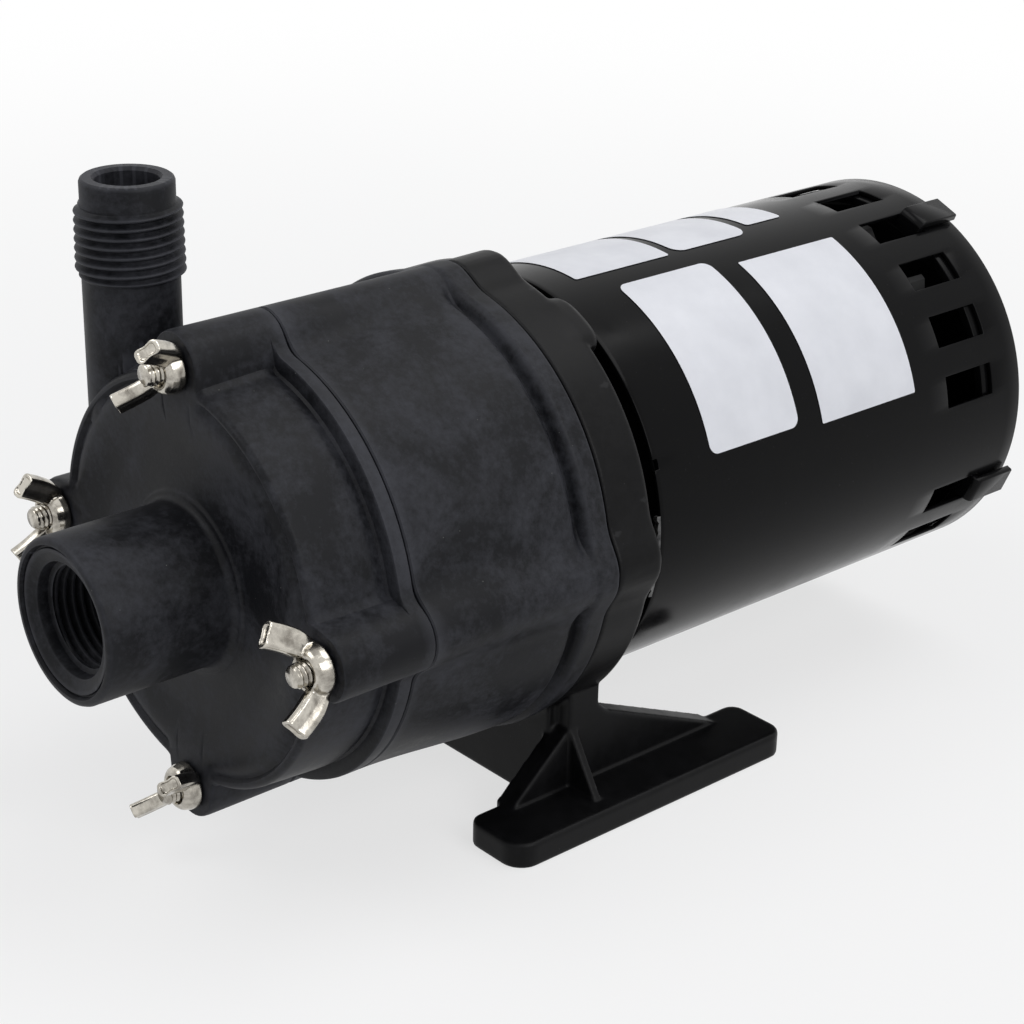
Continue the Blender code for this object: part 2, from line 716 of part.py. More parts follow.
def build_spindle(parent):
    """Build the fixed ceramic spindle held by the spider and by the rear housing's socket."""
    front = SPIDER_BACK_Y - SPIDER_LENGTH
    back = CUP_BACK_Y - CUP_WALL - GAP
    profile = [(0.0, front), (SPINDLE_R - EDGE_BEVEL, front), (SPINDLE_R, front + EDGE_BEVEL),
               (SPINDLE_R, back - EDGE_BEVEL), (SPINDLE_R - EDGE_BEVEL, back), (0.0, back)]
    return finish("spindle", turned("spindle", profile, COARSE), ceramic(), parent)


def build_thrust_washer(name, front, parent):
    """Build one ceramic thrust washer round the spindle."""
    back = front + THRUST_WASHER_THICKNESS
    mesh = tube(name, SPINDLE_BORE_R, THRUST_WASHER_R, front, back, COARSE)
    return finish(name, mesh, ceramic(), parent)


def vane_outline():
    """Outline one backward-swept impeller vane in the XZ plane."""
    steps = 5
    inner_r = IMPELLER_HUB_R - SINK
    outer_r = IMPELLER_R - VANE_TIP_INSET
    left = []
    right = []
    for step in range(steps + 1):
        share = step / steps
        radius = inner_r + (outer_r - inner_r) * share
        angle = -VANE_SWEEP * share
        half = math.degrees(0.5 * VANE_THICKNESS / radius)
        first = polar(radius, angle + half)
        second = polar(radius, angle - half)
        left.append((first.x, first.z))
        right.append((second.x, second.z))
    return left + right[::-1]


def build_impeller(parent):
    """Build the closed impeller with its vanes and the long hub that carries the magnet."""
    shroud_back = IMPELLER_FRONT_Y + SHROUD_THICKNESS
    disc_front = IMPELLER_BACK_Y - BACK_DISC_THICKNESS
    hub = turned("hub", [(SPINDLE_BORE_R, IMPELLER_NOSE_Y),
                         (IMPELLER_NOSE_R, IMPELLER_NOSE_Y),
                         (IMPELLER_HUB_R, disc_front),
                         (IMPELLER_R, disc_front),
                         (IMPELLER_R, IMPELLER_BACK_Y),
                         (IMPELLER_HUB_R, IMPELLER_BACK_Y),
                         (IMPELLER_HUB_R, IMPELLER_HUB_BACK_Y),
                         (SPINDLE_BORE_R, IMPELLER_HUB_BACK_Y)], MEDIUM)
    shroud = tube("shroud", IMPELLER_EYE_R, IMPELLER_R, IMPELLER_FRONT_Y, shroud_back, MEDIUM)
    vanes = []
    for index in range(VANE_COUNT):
        vane = prism("vane", vane_outline(), "Y", shroud_back - 0.5 * SINK,
                     disc_front + 0.5 * SINK)
        vanes.append(moved(vane, about_shaft(360.0 * index / VANE_COUNT)))
    return finish("impeller", joined(hub, [shroud] + vanes), wet_plastic(), parent)


def build_driven_magnet(parent):
    """Build the ring magnet on the impeller's hub."""
    mesh = tube("driven_magnet", IMPELLER_HUB_R + GAP, DRIVEN_MAGNET_R, MAGNET_FRONT_Y,
                MAGNET_BACK_Y, INNER)
    return finish("driven_magnet", mesh, ferrite(), parent)


def build_magnet_jacket(parent):
    """Build the plastic jacket that closes round the driven magnet."""
    floor_front = MAGNET_BACK_Y + GAP
    inner_r = IMPELLER_HUB_R + GAP
    profile = [(JACKET_BORE_R, MAGNET_FRONT_Y), (JACKET_R, MAGNET_FRONT_Y),
               (JACKET_R, JACKET_BACK_Y), (inner_r, JACKET_BACK_Y),
               (inner_r, floor_front), (JACKET_BORE_R, floor_front)]
    return finish("magnet_jacket", turned("magnet_jacket", profile, INNER), wet_plastic(), parent)


# Drive side of the magnetic coupling

def build_drive_magnet(parent):
    """Build the outer ring magnet that turns round the isolation cup."""
    mesh = tube("drive_magnet", DRIVE_BORE_R, DRIVE_MAGNET_R, DRIVE_MAGNET_FRONT_Y,
                DRIVE_MAGNET_BACK_Y, INNER)
    return finish("drive_magnet", mesh, ferrite(), parent)


def build_drive_cup(parent):
    """Build the steel cup that holds the drive magnet on the motor shaft."""
    floor_back = DRIVE_FLOOR_Y + DRIVE_CUP_FLOOR
    profile = [(DRIVE_CUP_BORE_R, DRIVE_MAGNET_FRONT_Y), (DRIVE_CUP_R, DRIVE_MAGNET_FRONT_Y),
               (DRIVE_CUP_R, floor_back), (DRIVE_HUB_R, floor_back),
               (DRIVE_HUB_R, DRIVE_HUB_BACK_Y), (SHAFT_BORE_R, DRIVE_HUB_BACK_Y),
               (SHAFT_BORE_R, DRIVE_FLOOR_Y), (DRIVE_CUP_BORE_R, DRIVE_FLOOR_Y)]
    middle = 0.5 * (floor_back + DRIVE_HUB_BACK_Y)
    across = Matrix.Rotation(math.radians(-90.0), 4, "Z")
    hole = plug("screw_hole", SET_SCREW_R + GAP, CUT_MARGIN, DRIVE_HUB_R + CUT_MARGIN, TINY)
    hole = moved(hole, across, (0.0, middle, 0.0))
    mesh = cut(turned("drive_magnet_cup", profile, INNER), [hole])
    return finish("drive_magnet_cup", mesh, steel(), parent)


def build_set_screw(parent):
    """Build the socket screw that clamps the drive cup's hub on the shaft."""
    middle = 0.5 * (DRIVE_FLOOR_Y + DRIVE_CUP_FLOOR + DRIVE_HUB_BACK_Y)
    profile = [(0.0, SHAFT_BORE_R), (SET_SCREW_R, SHAFT_BORE_R),
               (SET_SCREW_R, DRIVE_HUB_R - GAP), (SET_SCREW_SOCKET_R, DRIVE_HUB_R - GAP),
               (SET_SCREW_SOCKET_R, DRIVE_HUB_R - SET_SCREW_SOCKET_DEPTH),
               (0.0, DRIVE_HUB_R - SET_SCREW_SOCKET_DEPTH)]
    across = Matrix.Rotation(math.radians(-90.0), 4, "Z")
    mesh = moved(turned("cup_set_screw", profile, TINY), across, (0.0, middle, 0.0))
    return finish("cup_set_screw", mesh, steel(), parent)


# Motor bracket

def build_bracket(parent):
    """Build the bell-shaped bracket that carries the wet end, with a bead along its rear."""
    bead_front = BRACKET_BACK_Y - BEAD_WIDTH
    grown_r = RIM_R + BRACKET_GROWTH
    waist = 0.5 * (BRACKET_FRONT_Y + bead_front)
    bead = [(0.18, 0.75), (0.45, 1.0), (0.75, 0.85), (1.0, 0.45)]
    loops = [casing_loop(BRACKET_FRONT_Y, RIM_R, LOBE_R),
             casing_loop(waist, RIM_R + 0.4 * BRACKET_GROWTH, LOBE_R),
             casing_loop(bead_front, grown_r, LOBE_R)]
    for share, rise in bead:
        y = bead_front + share * BEAD_WIDTH
        loops.append(casing_loop(y, grown_r + rise * BEAD_RISE, LOBE_R))
    ledge_y = BRACKET_FRONT_Y + SPIGOT_DEPTH
    ledge_back_y = ledge_y + LEDGE_THICKNESS
    front_y = BRACKET_FRONT_Y - CUT_MARGIN
    rear_y = BRACKET_BACK_Y + CUT_MARGIN
    hollow = [(0.0, front_y), (SPIGOT_R, front_y), (SPIGOT_R, ledge_y), (LEDGE_BORE_R, ledge_y),
              (LEDGE_BORE_R, ledge_back_y),
              (BRACKET_BORE_R, ledge_back_y + 0.5 * (BRACKET_BORE_R - LEDGE_BORE_R)),
              (BRACKET_BORE_R, rear_y), (0.0, rear_y)]
    mesh = cut(lofted("bracket_outer", loops), [turned("bracket_hollow", hollow, MEDIUM)])
    mesh = cut(mesh, bolt_hole_tools(front_y, rear_y))
    return finish("motor_bracket", mesh, casing_plastic(), parent)


# Mounting base

def base_flange():
    """Loft the base's flange, whose outline carries on the bracket's lobes."""
    inner_r = BASE_FLANGE_R - BASE_EDGE_ROUND
    lobe_inner_r = LOBE_R - BASE_EDGE_ROUND
    loops = [casing_loop(BASE_FRONT_Y, BASE_FLANGE_R, LOBE_R),
             casing_loop(BASE_BACK_Y - BASE_EDGE_ROUND, BASE_FLANGE_R, LOBE_R),
             casing_loop(BASE_BACK_Y, inner_r, lobe_inner_r)]
    return lofted("base_flange", loops)


def saddle_lug():
    """Make the lug on the flange's upper right that reaches back over the motor's front."""
    steps = 5
    inner_r = SHELL_R + GAP
    arc = [SADDLE_ANGLE + SADDLE_HALF_ANGLE * (2.0 * step / steps - 1.0)
           for step in range(steps + 1)]
    outer = [polar(SADDLE_R, angle) for angle in arc]
    inner = [polar(inner_r, angle) for angle in arc[::-1]]
    outline = [(point.x, point.z) for point in outer + inner]
    return prism("saddle_lug", outline, "Y", BASE_BACK_Y - SADDLE_ROOT,
                 BASE_BACK_Y + SADDLE_DEPTH)


def foot_outline():
    """Outline one foot bar with four rounded corners."""
    radius = FOOT_CORNER_R
    corners = [(FOOT_OUTER_X - radius, FOOT_REAR - radius, 0.0),
               (FOOT_INNER_X + radius, FOOT_REAR - radius, 90.0),
               (FOOT_INNER_X + radius, radius - FOOT_FRONT, 180.0),
               (FOOT_OUTER_X - radius, radius - FOOT_FRONT, 270.0)]
    outline = []
    for x, y, first in corners:
        for step in range(5):
            turn = math.radians(first + 22.5 * step)
            outline.append((x + radius * math.cos(turn), y + radius * math.sin(turn)))
    return outline


def foot_bar():
    """Make the right foot bar with its top edge rounded."""
    top = FOOT_THICKNESS - SHAFT_HEIGHT
    outline = foot_outline()
    middle = Vector((0.5 * (FOOT_INNER_X + FOOT_OUTER_X), 0.5 * (FOOT_REAR - FOOT_FRONT)))
    size = Vector((FOOT_OUTER_X - FOOT_INNER_X, FOOT_REAR + FOOT_FRONT))
    shrink = [1.0 - 2.0 * FOOT_EDGE_ROUND / side for side in size]
    small = [(middle.x + (x - middle.x) * shrink[0], middle.y + (y - middle.y) * shrink[1])
             for x, y in outline]
    levels = [(outline, -SHAFT_HEIGHT), (outline, top - FOOT_EDGE_ROUND), (small, top)]
    return lofted("foot_bar", [[Vector((x, y, z)) for x, y in points] for points, z in levels])


def pedestal_wall():
    """Make the right side wall of the pedestal, flaring fore and aft down to the foot."""
    foot_top = FOOT_THICKNESS - SHAFT_HEIGHT
    sunk = foot_top - 0.5 * FOOT_THICKNESS
    front = TRUNK_FRONT
    rear = BASE_BACK_Y - TRUNK_REAR_INSET
    wall_front = front - WALL_FRONT_REACH
    outline = [(front, -TRUNK_TOP), (front, -TRUNK_DROP - SINK),
               (wall_front, foot_top), (wall_front, sunk),
               (WALL_REAR_REACH, sunk), (WALL_REAR_REACH, foot_top),
               (rear + TRUNK_HEEL, -TRUNK_DROP), (rear, -TRUNK_DROP + TRUNK_HEEL),
               (rear, -TRUNK_TOP)]
    inner = PEDESTAL_HALF_WIDTH - PEDESTAL_WALL
    return prism("pedestal_wall", outline, "X", inner, PEDESTAL_HALF_WIDTH)


def pedestal_gusset():
    """Make the right outer gusset between the side wall and the foot."""
    foot_top = FOOT_THICKNESS - SHAFT_HEIGHT
    start = PEDESTAL_HALF_WIDTH - SINK
    front = TRUNK_FRONT + PLANE_OFFSET
    outline = [(start, -TRUNK_DROP - SINK), (PEDESTAL_HALF_WIDTH, -TRUNK_DROP - SINK),
               (PEDESTAL_HALF_WIDTH + GUSSET_REACH, foot_top),
               (PEDESTAL_HALF_WIDTH + GUSSET_REACH, foot_top - SINK),
               (start, foot_top - SINK)]
    return prism("pedestal_gusset", outline, "Y", front, front + GUSSET_THICKNESS)


def build_base(parent):
    """Build the base: flange, cross web, flared side walls, gussets and two feet."""
    web_half = PEDESTAL_HALF_WIDTH - PEDESTAL_WALL + SINK
    web = prism("cross_web", [(-web_half, -SHAFT_HEIGHT), (web_half, -SHAFT_HEIGHT),
                              (web_half, -TRUNK_TOP), (-web_half, -TRUNK_TOP)],
                "Y", PLANE_OFFSET - 0.5 * WEB_THICKNESS, 0.5 * WEB_THICKNESS)
    mirror = Matrix.Scale(-1.0, 4, (1.0, 0.0, 0.0))
    pieces = [web, saddle_lug()]
    for make in (pedestal_wall, pedestal_gusset, foot_bar):
        pieces.append(make())
        other = moved(make(), mirror)
        other.flip_normals()
        pieces.append(other)
    mesh = joined(base_flange(), pieces)
    front_y = BASE_FRONT_Y - CUT_MARGIN
    back_y = BASE_BACK_Y + CUT_MARGIN
    opening = plug("opening", BASE_OPENING_R, front_y, back_y, MEDIUM)
    mesh = cut(mesh, [opening] + bolt_hole_tools(front_y, back_y))
    pockets = []
    for angle in BOLT_ANGLES:
        pocket = plug("pocket", hexagon_r(BOLT_POCKET_FLATS), BASE_BACK_Y - BOLT_POCKET_DEPTH,
                      back_y, 6)
        pockets.append(moved(pocket, about_shaft(angle), polar(BOLT_CIRCLE_R, angle)))
    mesh = cut(mesh, pockets)
    mesh = cut(mesh, motor_screw_tools(front_y, back_y))
    return finish("mounting_base", mesh, base_plastic(), parent)


# Fasteners

def hexagon_r(flats):
    """Give the corner radius of a hexagon from its width across flats."""
    return flats / math.sqrt(3.0)


def build_case_bolt(name, angle, parent):
    """Build one long case bolt with its hexagon head at the rear."""
    head_back = BASE_BACK_Y - GAP
    head_front = head_back - BOLT_HEAD_HEIGHT
    tip = BOSS_FACE_Y - BOLT_PROUD
    root = head_front + 0.5 * SINK
    shank = turned("shank", [(0.0, tip), (BOLT_R - BOLT_TIP_CHAMFER, tip),
                             (BOLT_R, tip + BOLT_TIP_CHAMFER), (BOLT_R, root), (0.0, root)],
                   TINY)
    head = plug("head", hexagon_r(BOLT_HEAD_FLATS), head_front, head_back, 6)
    mesh = joined(head, [shank])
    item = finish(name, mesh, nickel(), parent, polar(BOLT_CIRCLE_R, angle))
    item.rotation_euler = about_shaft(angle).to_euler()
    return item


def wing_outline():
    """Outline one wing of a wing nut by (radius, y) points, swept forward from the hub."""
    root_in = Vector((NUT_HUB_TOP_R - EDGE_BEVEL, 0.9 * NUT_HUB_HEIGHT))
    root_out = Vector((NUT_HUB_R, 0.3 * NUT_HUB_HEIGHT))
    inside = Vector((NUT_HUB_TOP_R - EDGE_BEVEL, 0.3 * NUT_HUB_HEIGHT))
    tip = Vector((WING_TIP_R, WING_RISE))
    along = (tip - 0.5 * (root_in + root_out)).normalized()
    outward = 0.5 * WING_WIDTH * Vector((along.y, -along.x))
    edge = EDGE_BEVEL * along
    points = [inside, root_out, tip + outward - edge, tip + 0.85 * outward,
              tip - 0.85 * outward, tip - outward - edge, root_in]
    return [(radius, -rise) for radius, rise in points]


def build_wing_nut(name, bolt_angle, wing_angle, parent):
    """Build one wing nut: a tapered round hub with two wings that rise towards the inlet."""
    hub = turned("hub", [(BOLT_HOLE_R, 0.0), (NUT_HUB_R - EDGE_BEVEL, 0.0),
                         (NUT_HUB_R, -EDGE_BEVEL), (NUT_HUB_R, -0.45 * NUT_HUB_HEIGHT),
                         (NUT_HUB_TOP_R, EDGE_BEVEL - NUT_HUB_HEIGHT),
                         (NUT_HUB_TOP_R - EDGE_BEVEL, -NUT_HUB_HEIGHT),
                         (BOLT_HOLE_R, -NUT_HUB_HEIGHT)], COARSE)
    wings = []
    for side in (0.0, 180.0):
        points = [Vector((radius, y, 0.0)) for radius, y in wing_outline()]
        half = Vector((0.0, 0.0, 0.5 * WING_THICKNESS))
        wing = lofted("wing", [[point - half for point in points],
                               [point + half for point in points]])
        wings.append(moved(wing, about_shaft(side)))
    mesh = joined(hub, wings)
    place = polar(BOLT_CIRCLE_R, bolt_angle, BOSS_FACE_Y - GAP)
    item = finish(name, mesh, nickel(), parent, place)
    item.rotation_euler = about_shaft(wing_angle).to_euler()
    return item


def motor_screw_points():
    """Give the centres of the screws that hold the motor on the base."""
    step = 360.0 / MOTOR_SCREW_COUNT
    return [polar(MOTOR_SCREW_CIRCLE_R, MOTOR_SCREW_FIRST_ANGLE + step * index)
            for index in range(MOTOR_SCREW_COUNT)]


def motor_screw_tools(front, back):
    """Make the cutters of the motor screws' clearance holes."""
    return [moved(plug("hole", MOTOR_SCREW_R + GAP, front, back, TINY), shift=point)
            for point in motor_screw_points()]


def build_motor_screws(parent):
    """Build the four pan-head screws that hold the motor on the base."""
    head_back = BASE_FRONT_Y - GAP
    head_front = head_back - MOTOR_SCREW_HEAD_HEIGHT
    tip = BELL_FRONT_Y + MOTOR_SCREW_GRIP
    crown = 0.2 * MOTOR_SCREW_HEAD_R
    profile = [(0.0, head_front), (MOTOR_SCREW_HEAD_R - crown, head_front),
               (MOTOR_SCREW_HEAD_R, head_front + crown), (MOTOR_SCREW_HEAD_R, head_back),
               (MOTOR_SCREW_R, head_back), (MOTOR_SCREW_R, tip), (0.0, tip)]
    for index, point in enumerate(motor_screw_points()):
        name = f"motor_screw_{index + 1}"
        finish(name, turned(name, profile, TINY), steel(), parent, point)


# Motor

def build_front_bell(parent):
    """Build the motor's front end bell with its bearing housing and screw bosses."""
    rim_back = BELL_FRONT_Y + BELL_RIM_LENGTH
    housing_front = FRONT_BEARING_Y - GAP - BEARING_HOUSING_FLOOR
    profile = [(SHAFT_HOLE_R, housing_front), (BEARING_HOUSING_R - EDGE_BEVEL, housing_front),
               (BEARING_HOUSING_R, housing_front + EDGE_BEVEL), (BEARING_HOUSING_R, BELL_FRONT_Y),
               (BELL_R - EDGE_BEVEL, BELL_FRONT_Y), (BELL_R, BELL_FRONT_Y + EDGE_BEVEL),
               (BELL_R, rim_back), (BELL_R - BELL_RIM_WALL, rim_back),
               (BELL_R - BELL_RIM_WALL, BELL_DISC_BACK_Y), (BEARING_POCKET_R, BELL_DISC_BACK_Y),
               (BEARING_POCKET_R, FRONT_BEARING_Y - GAP), (SHAFT_HOLE_R, FRONT_BEARING_Y - GAP)]
    boss_r = MOTOR_SCREW_R + MOTOR_SCREW_BOSS_WALL
    hole_end = BELL_FRONT_Y + MOTOR_SCREW_GRIP + GAP
    boss_end = hole_end + MOTOR_SCREW_BOSS_WALL
    bosses = [moved(plug("boss", boss_r, BELL_DISC_BACK_Y - SINK, boss_end, TINY), shift=point)
              for point in motor_screw_points()]
    mesh = joined(turned("front_end_bell", profile, MEDIUM), bosses)
    holes = motor_screw_tools(BELL_FRONT_Y - CUT_MARGIN, hole_end)
    return finish("front_end_bell", cut(mesh, holes), black_paint(), parent)


def build_bearing(name, front, parent):
    """Build one sealed ball bearing as a ring with its outer edges chamfered."""
    back = front + BEARING_WIDTH
    face_r = BEARING_R - EDGE_BEVEL
    profile = [(SHAFT_BORE_R, front), (face_r, front), (BEARING_R, front + EDGE_BEVEL),
               (BEARING_R, back - EDGE_BEVEL), (face_r, back), (SHAFT_BORE_R, back)]
    return finish(name, turned(name, profile, COARSE), steel(), parent)


def window_angles():
    """Give the centre angles of the shell's rear windows."""
    step = 360.0 / WINDOW_COUNT
    centres = [WINDOW_FIRST_ANGLE + step * index for index in range(WINDOW_COUNT)]
    return [angle for angle in centres if abs((angle - WINDOW_BLANK_ANGLE) % 360.0) > 0.5]


def build_shell(parent):
    """Build the motor's rolled shell with the ring of cooling windows near its rear."""
    half = 0.5 * WINDOW_ARC
    step = 360.0 / WINDOW_COUNT
    open_angles = window_angles()
    columns = []
    for index in range(WINDOW_COUNT):
        centre = WINDOW_FIRST_ANGLE + step * index
        is_open = centre in open_angles
        land = (step - WINDOW_ARC) / 2.0
        columns += [(centre - half, is_open), (centre, is_open), (centre + half, False),
                    (centre + half + land, False)]
    stations = [SHELL_FRONT_Y, WINDOW_FRONT_Y, WINDOW_BACK_Y, SHELL_BACK_Y]
    bm = bmesh.new()
    grid = [[bm.verts.new(polar(SHELL_R, angle, y)) for angle, _ in columns] for y in stations]
    for row in range(len(stations) - 1):
        for column, (_, is_open) in enumerate(columns):
            if row == 1 and is_open:
                continue
            after = (column + 1) % len(columns)
            bm.faces.new((grid[row][column], grid[row][after],
                          grid[row + 1][after], grid[row + 1][column]))
    mesh = mesh_from(bm, "motor_shell")
    item = add_object("shell_skin", mesh)
    modifier = item.modifiers.new("Solidify", "SOLIDIFY")
    modifier.thickness = SHELL_WALL
    modifier.offset = -1.0
    modifier.use_even_offset = True
    depsgraph = bpy.context.evaluated_depsgraph_get()
    solid = bpy.data.meshes.new_from_object(item.evaluated_get(depsgraph))
    bpy.data.objects.remove(item, do_unlink=True)
    return finish("motor_shell", solid, black_paint(), parent)


def build_stator(parent):
    """Build the stator's core and the wire bundles at its two ends."""
    core = tube("stator_core", STATOR_BORE_R, BELL_R, STATOR_FRONT_Y, STATOR_BACK_Y, MEDIUM)
    finish("stator_core", core, laminations(), parent)
    places = {"front_winding": STATOR_FRONT_Y - GAP - WINDING_HEIGHT,
              "rear_winding": STATOR_BACK_Y + GAP}
    bevel = 0.25 * WINDING_HEIGHT
    for name, front in places.items():
        back = front + WINDING_HEIGHT
        profile = [(WINDING_INNER_R, front), (WINDING_OUTER_R - bevel, front),
                   (WINDING_OUTER_R, front + bevel), (WINDING_OUTER_R, back - bevel),
                   (WINDING_OUTER_R - bevel, back), (WINDING_INNER_R, back)]
        finish(name, turned(name, profile, INNER), copper(), parent)


def build_rotor(parent):
    """Build the rotor's core with its cast end rings."""
    outer_r = ROTOR_R - END_RING_INSET
    inner_r = outer_r - END_RING_WIDTH
    front = STATOR_FRONT_Y
    back = STATOR_BACK_Y
    ring_front = front - END_RING_HEIGHT
    ring_back = back + END_RING_HEIGHT
    profile = [(SHAFT_BORE_R, front), (inner_r, front), (inner_r, ring_front),
               (outer_r, ring_front), (outer_r, front), (ROTOR_R, front), (ROTOR_R, back),
               (outer_r, back), (outer_r, ring_back), (inner_r, ring_back),
               (inner_r, back), (SHAFT_BORE_R, back)]
    return finish("rotor_core", turned("rotor_core", profile, INNER), laminations(), parent)


def build_shaft(parent):
    """Build the motor shaft, chamfered at both ends."""
    face_r = SHAFT_R - EDGE_BEVEL
    profile = [(0.0, SHAFT_FRONT_Y), (face_r, SHAFT_FRONT_Y),
               (SHAFT_R, SHAFT_FRONT_Y + EDGE_BEVEL), (SHAFT_R, SHAFT_BACK_Y - EDGE_BEVEL),
               (face_r, SHAFT_BACK_Y), (0.0, SHAFT_BACK_Y)]
    return finish("motor_shaft", turned("motor_shaft", profile, COARSE), steel(), parent)


def build_fan(parent):
    """Build the cooling fan: hub, front plate and radial blades."""
    plate_back = FAN_FRONT_Y + FAN_PLATE
    hub = turned("fan_hub", [(SHAFT_BORE_R, FAN_FRONT_Y), (FAN_R, FAN_FRONT_Y),
                             (FAN_R, plate_back), (FAN_HUB_R, plate_back),
                             (FAN_HUB_R, FAN_BACK_Y), (SHAFT_BORE_R, FAN_BACK_Y)], MEDIUM)
    half = 0.5 * FAN_BLADE_THICKNESS
    tip_r = FAN_R - GAP
    root_r = FAN_HUB_R - SINK
    outline = [(root_r, -half), (tip_r, -half), (tip_r, half), (root_r, half)]
    blades = []
    for index in range(FAN_BLADES):
        blade = prism("blade", outline, "Y", plate_back - 0.5 * SINK, FAN_BACK_Y - SINK)
        blades.append(moved(blade, about_shaft(360.0 * (index + 0.25) / FAN_BLADES)))
    return finish("cooling_fan", joined(hub, blades), base_plastic(), parent)


def build_fan_clip(parent):
    """Build the push-on ring that keeps the fan on the shaft."""
    mesh = tube("fan_clip", SHAFT_BORE_R, CLIP_R, CLIP_Y, CLIP_Y + CLIP_THICKNESS, COARSE)
    return finish("fan_clip", mesh, steel(), parent)


def ear(angle):
    """Make one ear: out through a window, then back over the shell's rear band to its edge."""
    root_r = BELL_R - EAR_ROOT
    leg_back = WINDOW_BACK_Y - GAP
    leg_front = leg_back - EAR_PLATE
    plate_inner = SHELL_R + GAP
    plate_outer = plate_inner + EAR_PLATE
    plate_back = SHELL_BACK_Y + EAR_OVERHANG
    outline = [(root_r, leg_front), (plate_outer - EDGE_BEVEL, leg_front),
               (plate_outer, leg_front + EDGE_BEVEL), (plate_outer, plate_back),
               (plate_inner, plate_back), (plate_inner, leg_back), (root_r, leg_back)]
    half = Vector((0.0, 0.0, 0.5 * EAR_WIDTH))
    points = [Vector((radius, y, 0.0)) for radius, y in outline]
    mesh = lofted("ear", [[point - half for point in points], [point + half for point in points]])
    return moved(mesh, about_shaft(angle))


def build_rear_bell(parent):
    """Build the rear end bell: vented disc, bearing housing, rim and four bent ears."""
    rim_front = WINDOW_BACK_Y - GAP - EAR_PLATE
    rim_inner = BELL_R - BELL_RIM_WALL
    pocket_floor = REAR_BEARING_Y + BEARING_WIDTH + GAP
    housing_back = pocket_floor + BEARING_HOUSING_FLOOR
    profile = [(SHAFT_HOLE_R, pocket_floor), (BEARING_POCKET_R, pocket_floor),
               (BEARING_POCKET_R, REAR_BEARING_Y), (BEARING_HOUSING_R, REAR_BEARING_Y),
               (BEARING_HOUSING_R, REAR_DISC_FRONT_Y), (rim_inner, REAR_DISC_FRONT_Y),
               (rim_inner, rim_front), (BELL_R, rim_front),
               (BELL_R, REAR_DISC_BACK_Y - BELL_EDGE_ROUND),
               (BELL_R - BELL_EDGE_ROUND, REAR_DISC_BACK_Y),
               (BEARING_HOUSING_R, REAR_DISC_BACK_Y),
               (BEARING_HOUSING_R - BELL_EDGE_ROUND, housing_back),
               (SHAFT_HOLE_R, housing_back)]
    bell = turned("rear_end_bell", profile, MEDIUM)
    slots = []
    inner = BEARING_HOUSING_R + BELL_SLOT_MARGIN
    outer = rim_inner - BELL_SLOT_MARGIN
    half = 0.5 * BELL_SLOT_WIDTH
    outline = [(inner, -half), (outer, -half), (outer, half), (inner, half)]
    for index in range(BELL_SLOT_COUNT):
        slot = prism("slot", outline, "Y", REAR_DISC_FRONT_Y - CUT_MARGIN,
                     REAR_DISC_BACK_Y + CUT_MARGIN)
        slots.append(moved(slot, about_shaft(360.0 * (index + 0.5) / BELL_SLOT_COUNT)))
    mesh = cut(bell, slots)
    step = 360.0 / EAR_COUNT
    mesh = joined(mesh, [ear(WINDOW_FIRST_ANGLE + step * index) for index in range(EAR_COUNT)])
    return finish("rear_end_bell", mesh, black_paint(), parent)


# Assembly

def add_axis(name, location, parent=None):
    """Add an empty that marks a shaft line or a joint axis."""
    axis = add_object(name, None, parent)
    axis.location = location
    return axis


def build_static(line):
    """Build the pieces that stay still."""
    build_volute(line)
    build_isolation_cup(line)
    build_o_ring(line)
    build_spindle(line)
    build_thrust_washer("front_thrust_washer", FRONT_WASHER_Y, line)
    build_thrust_washer("rear_thrust_washer", REAR_WASHER_Y, line)
    build_bracket(line)
    build_base(line)
    for name, angle in zip(BOLT_NAMES, BOLT_ANGLES):
        build_case_bolt(f"case_bolt_{name}", angle, line)
    build_motor_screws(line)
    build_front_bell(line)
    build_bearing("front_bearing", FRONT_BEARING_Y, line)
    build_bearing("rear_bearing", REAR_BEARING_Y, line)
    build_shell(line)
    build_stator(line)
    build_rear_bell(line)


def build_motor_rotor(axis):
    """Build what turns with the motor shaft."""
    build_shaft(axis)
    build_rotor(axis)
    build_fan(axis)
    build_fan_clip(axis)
    build_drive_cup(axis)
    build_drive_magnet(axis)
    build_set_screw(axis)


def build_impeller_rotor(axis):
    """Build what turns on the spindle."""
    build_impeller(axis)
    build_driven_magnet(axis)
    build_magnet_jacket(axis)


def main():
    """Build the whole pump on its shaft line."""
    clear_scene()
    centre = Vector((0.0, 0.0, SHAFT_HEIGHT))
    line = add_axis("shaft_line", centre)
    build_static(line)
    build_motor_rotor(add_axis("motor_axis", (0.0, 0.0, 0.0), line))
    build_impeller_rotor(add_axis("impeller_axis", (0.0, 0.0, 0.0), line))
    for name, angle in zip(BOLT_NAMES, BOLT_ANGLES):
        build_wing_nut(f"wing_nut_{name}", angle, WING_ANGLES[name], line)


main()
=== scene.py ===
"""Looks of a close-coupled, magnetically driven centrifugal pump.

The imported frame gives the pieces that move, fasten and carry. The classes below rebuild the
pieces in view with their fillets, threads and bends, and give every piece its finish.
Lengths are metres. Angles are degrees round the shaft line, from +X towards +Z.
"""

from __future__ import annotations

import json
import logging
import math
from dataclasses import dataclass
from enum import Enum
from typing import Iterable, Sequence

import bmesh
import bpy
import numpy as np
from mathutils import Matrix, Vector


